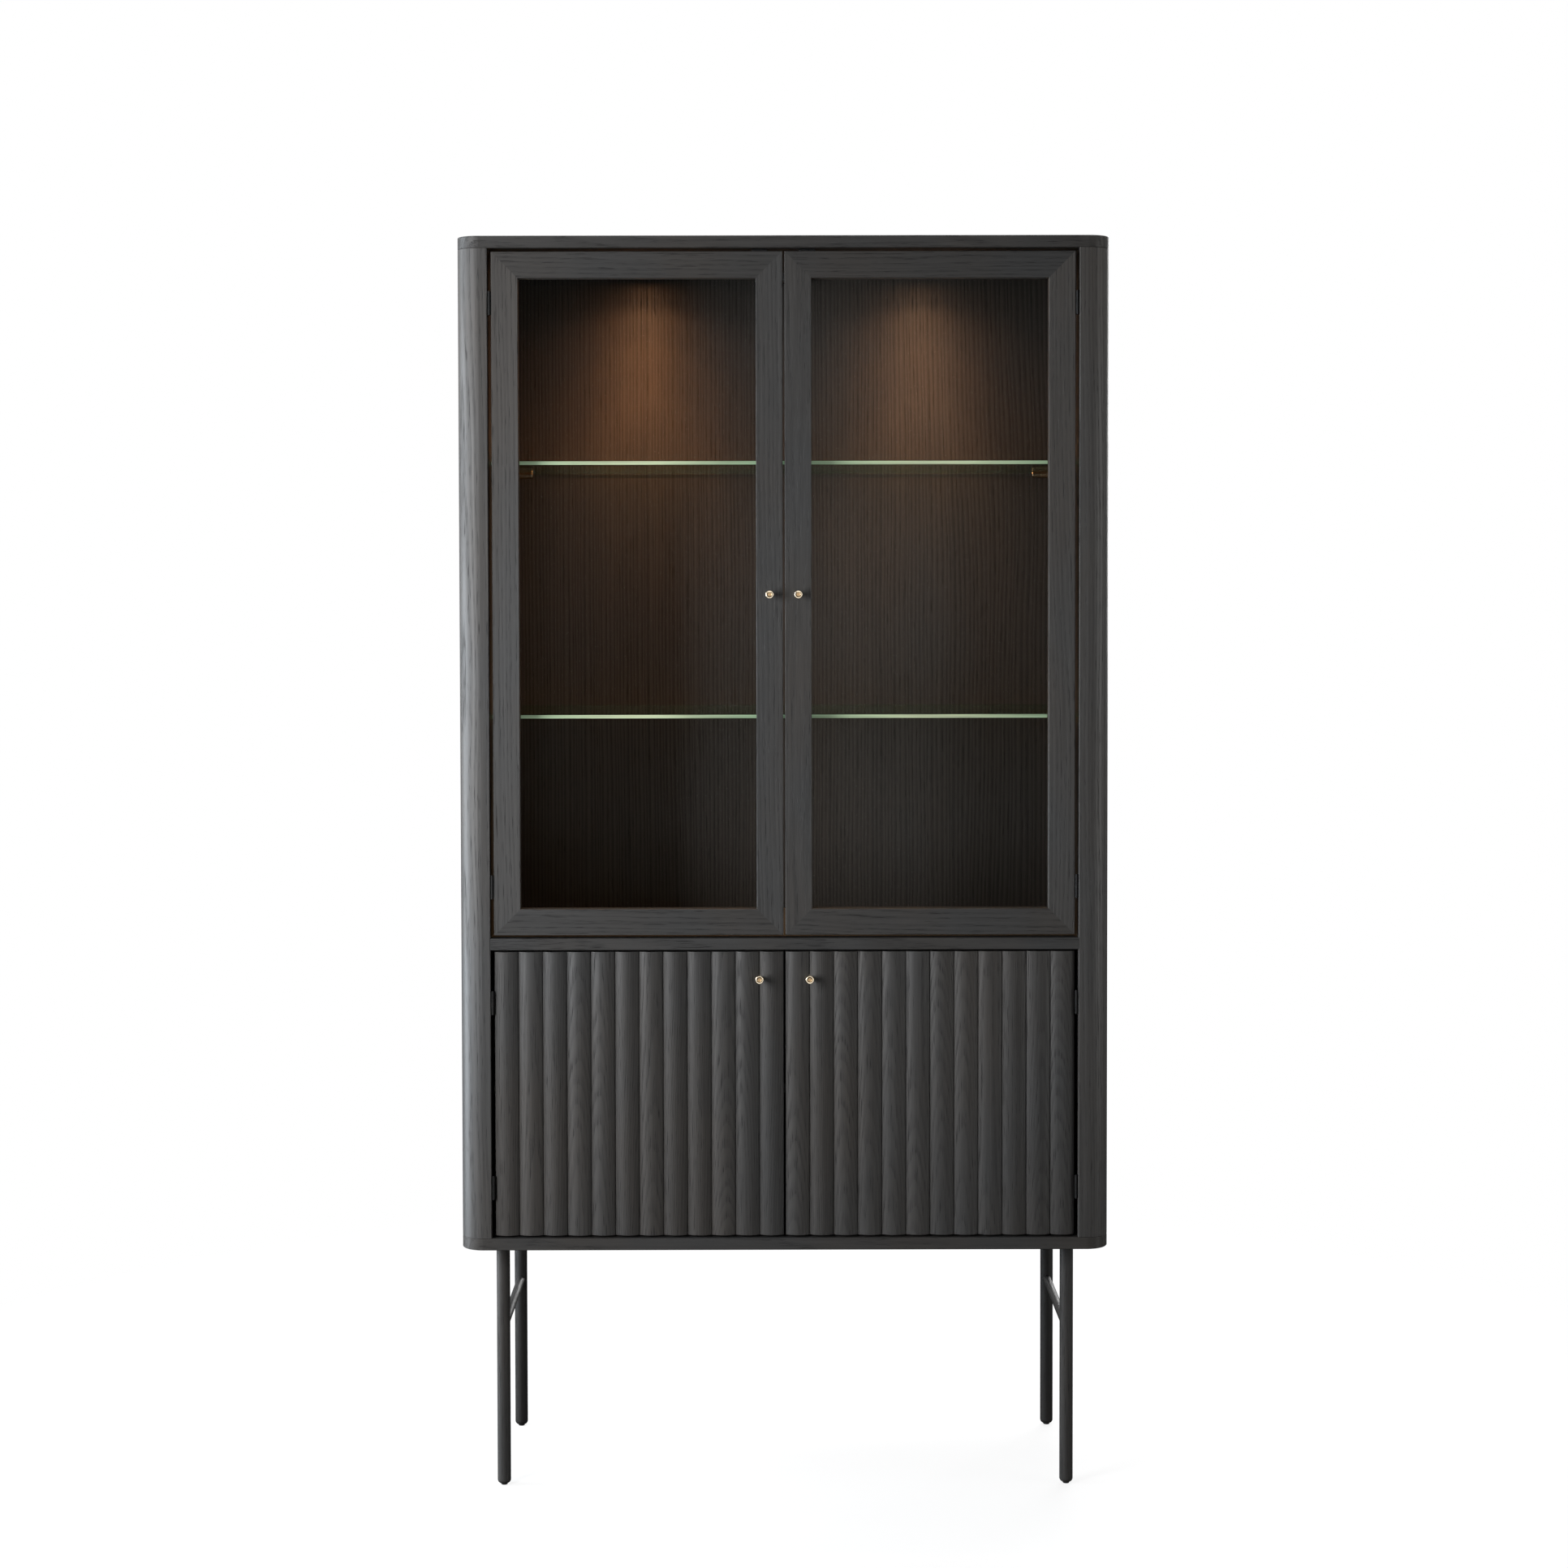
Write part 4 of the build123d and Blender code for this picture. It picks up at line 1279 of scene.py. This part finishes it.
@dataclass
class Studio:
    """Pale floor, soft light and the camera.

    Args:
        camera_place: where the camera stands.
        boxes: the soft lights.
    """

    camera_place: Place = (-0.025, -4.241, 1.374)
    pitch_deg: float = 1.835
    yaw_deg: float = 0.119
    roll_deg: float = -0.107
    lens: float = 61.99
    sensor: float = 36.0
    shift: tuple[float, float] = (0.0070, -0.0700)
    ambient: float = 0.06  # light from all round
    card: float = 1.35  # bright card behind the camera
    card_reach: tuple[float, float] = (0.981, 0.989)  # 1 is straight before the doors
    room: float = 0.50  # light from behind the cabinet
    room_reach: tuple[float, float] = (0.0, 0.5)
    floor_half: float = 30.0
    floor_tones: tuple[float, float] = (0.90, 0.93)
    front_reach: tuple[float, float] = (2.9, 3.567)  # how far ahead the floor starts to glow
    front_sides: tuple[float, float] = (0.6, 1.1)  # how far to the side that glow ends
    fade_reach: tuple[float, float] = (0.5, 1.75)  # how far off the floor turns plain white
    fade_start: float = 0.82  # how white it is beside the cabinet
    boxes: list[SoftBox] = field(
        default_factory=lambda: [
            SoftBox("key_left", (-1.9, -1.9, 1.35), (-0.3, 0.0, 1.05), (0.9, 1.6), 80.0, (0.98, 0.985, 1.0)),
            SoftBox("window_left", (-2.4, -0.1, 1.1), (-0.4, 0.0, 1.0), (1.2, 2.2), 100.0, (0.86, 0.93, 1.0)),
            SoftBox("fill_right", (2.6, -0.9, 1.2), (0.4, 0.0, 1.0), (1.2, 2.0), 26.0, (1.0, 0.99, 0.97)),
            SoftBox("back_fill", (1.6, 3.6, 2.2), (0.0, 0.0, 1.0), (2.4, 2.0), 110.0),
            SoftBox("top_fill", (0.3, 1.3, 4.6), (0.0, 0.1, 1.9), (2.4, 2.0), 110.0),
        ]
    )

    def floor_finish(self) -> bpy.types.Material:
        """Builds the floor's finish: plain white far off, and a soft light source before the doors.

        Returns:
            The material.
        """
        shader = Shader(bpy.data.materials.new("studio_floor"))
        dust = shader.even_noise(3.0, 3.0)
        tones = (grey(tone) for tone in self.floor_tones)
        pale = shader.fade(dust, (0.3, 0.7), *tones)
        paint = {"Base Color": pale, "Roughness": 0.9, "Specular IOR Level": 0.0}
        point = shader.place()
        x, y, _ = shader.parts(point)
        ahead = (0.0 - y).between(*self.front_reach) * (1.0 - x.size().between(*self.front_sides))
        dim, bright = (shader.white(strength) for strength in (self.ambient, self.ambient + self.card))
        length = {"operation": "LENGTH"}
        distance = shader.add("ShaderNodeVectorMath", length, {0: point}, output="Value")
        fade = self.fade_start + (1.0 - self.fade_start) * distance.between(*self.fade_reach)
        seen = shader.mix(fade, shader.surface(paint), shader.white(1.0))
        return shader.finish(shader.mix(shader.camera_ray(), shader.mix(ahead, dim, bright), seen))

    def build_floor(self) -> None:
        """Lays a wide pale floor."""
        mesh = bmesh.new()
        half = self.floor_half
        ends = ((-half, -half), (half, -half), (half, half), (-half, half))
        mesh.faces.new([mesh.verts.new((x, y, 0)) for x, y in ends])
        floor = new_piece("studio_floor", mesh, self.floor_finish())

    def build_world(self) -> None:
        """White surroundings for the eye, a softer light from them, and a bright card before the doors."""
        world = bpy.data.worlds.new("studio")
        bpy.context.scene.world = world
        shader = Shader(world)
        way = shader.parts(shader.add("ShaderNodeTexCoord", output="Generated"))[1]
        dim, back, bright, white = (
            shader.white(strength, "Background")
            for strength in (self.ambient, self.ambient + self.room, self.ambient + self.card, 1.0)
        )
        soft = shader.mix(way.between(*self.room_reach), dim, back)
        soft = shader.mix((0.0 - way).between(*self.card_reach), soft, bright)
        shader.finish(shader.mix(shader.camera_ray(), soft, white))

    def build_camera(self) -> None:
        """Sets the camera in front of the cabinet, a little left of its middle."""
        pitch, yaw, roll = (math.radians(a) for a in (self.pitch_deg, self.yaw_deg, self.roll_deg))
        level = math.cos(pitch)
        ahead = Vector((math.sin(yaw) * level, math.cos(yaw) * level, -math.sin(pitch)))
        right = Vector((math.cos(yaw), -math.sin(yaw), 0.0))
        up = right.cross(ahead)
        tilted_right = right * math.cos(roll) + up * math.sin(roll)
        tilted_up = up * math.cos(roll) - right * math.sin(roll)
        data = bpy.data.cameras.new("camera")
        data.lens = self.lens
        data.sensor_width = self.sensor
        data.shift_x, data.shift_y = self.shift
        camera = add_to_scene("camera", data)
        turn = Matrix((tilted_right, tilted_up, -ahead)).transposed()
        camera.rotation_mode = "QUATERNION"
        camera.rotation_quaternion = turn.to_quaternion()
        camera.location = self.camera_place
        bpy.context.scene.camera = camera

    def build(self) -> None:
        """Builds floor, surroundings, lights and camera."""
        self.build_floor()
        self.build_world()
        for box in self.boxes:
            box.build()
        self.build_camera()
        bpy.context.scene.view_settings.view_transform = "Standard"
        LOG.info("studio ready")


def main() -> None:
    """Builds and dresses the cabinet, sub-assembly by sub-assembly."""
    logging.basicConfig(level=logging.INFO, format="%(message)s")
    Studio().build()
    bright_brass = brass("brass", (0.97, 0.83, 0.61), (0.66, 0.48, 0.27), 0.16).material()
    matt_brass = brass("matt_brass", (0.78, 0.55, 0.31), (0.55, 0.37, 0.20), 0.45).material()
    pin_brass = brass("aged_brass", (0.40, 0.30, 0.20), (0.24, 0.17, 0.10), 0.20).material()
    pane = PaneGlass().material()
    Case().dress()
    Shelves().dress(pin_brass)
    for number, side in enumerate(Side):
        GlazedDoor(side, 20.0 + 6 * number).dress(pane)
        RibbedDoor(side, 60.0 + 10 * number).build()
        for level in Level:
            Knob(level, side).build(bright_brass, matt_brass)
    Fittings().dress()
    Legs().dress()
    Lamps().build()


if __name__ == "__main__":
    main()
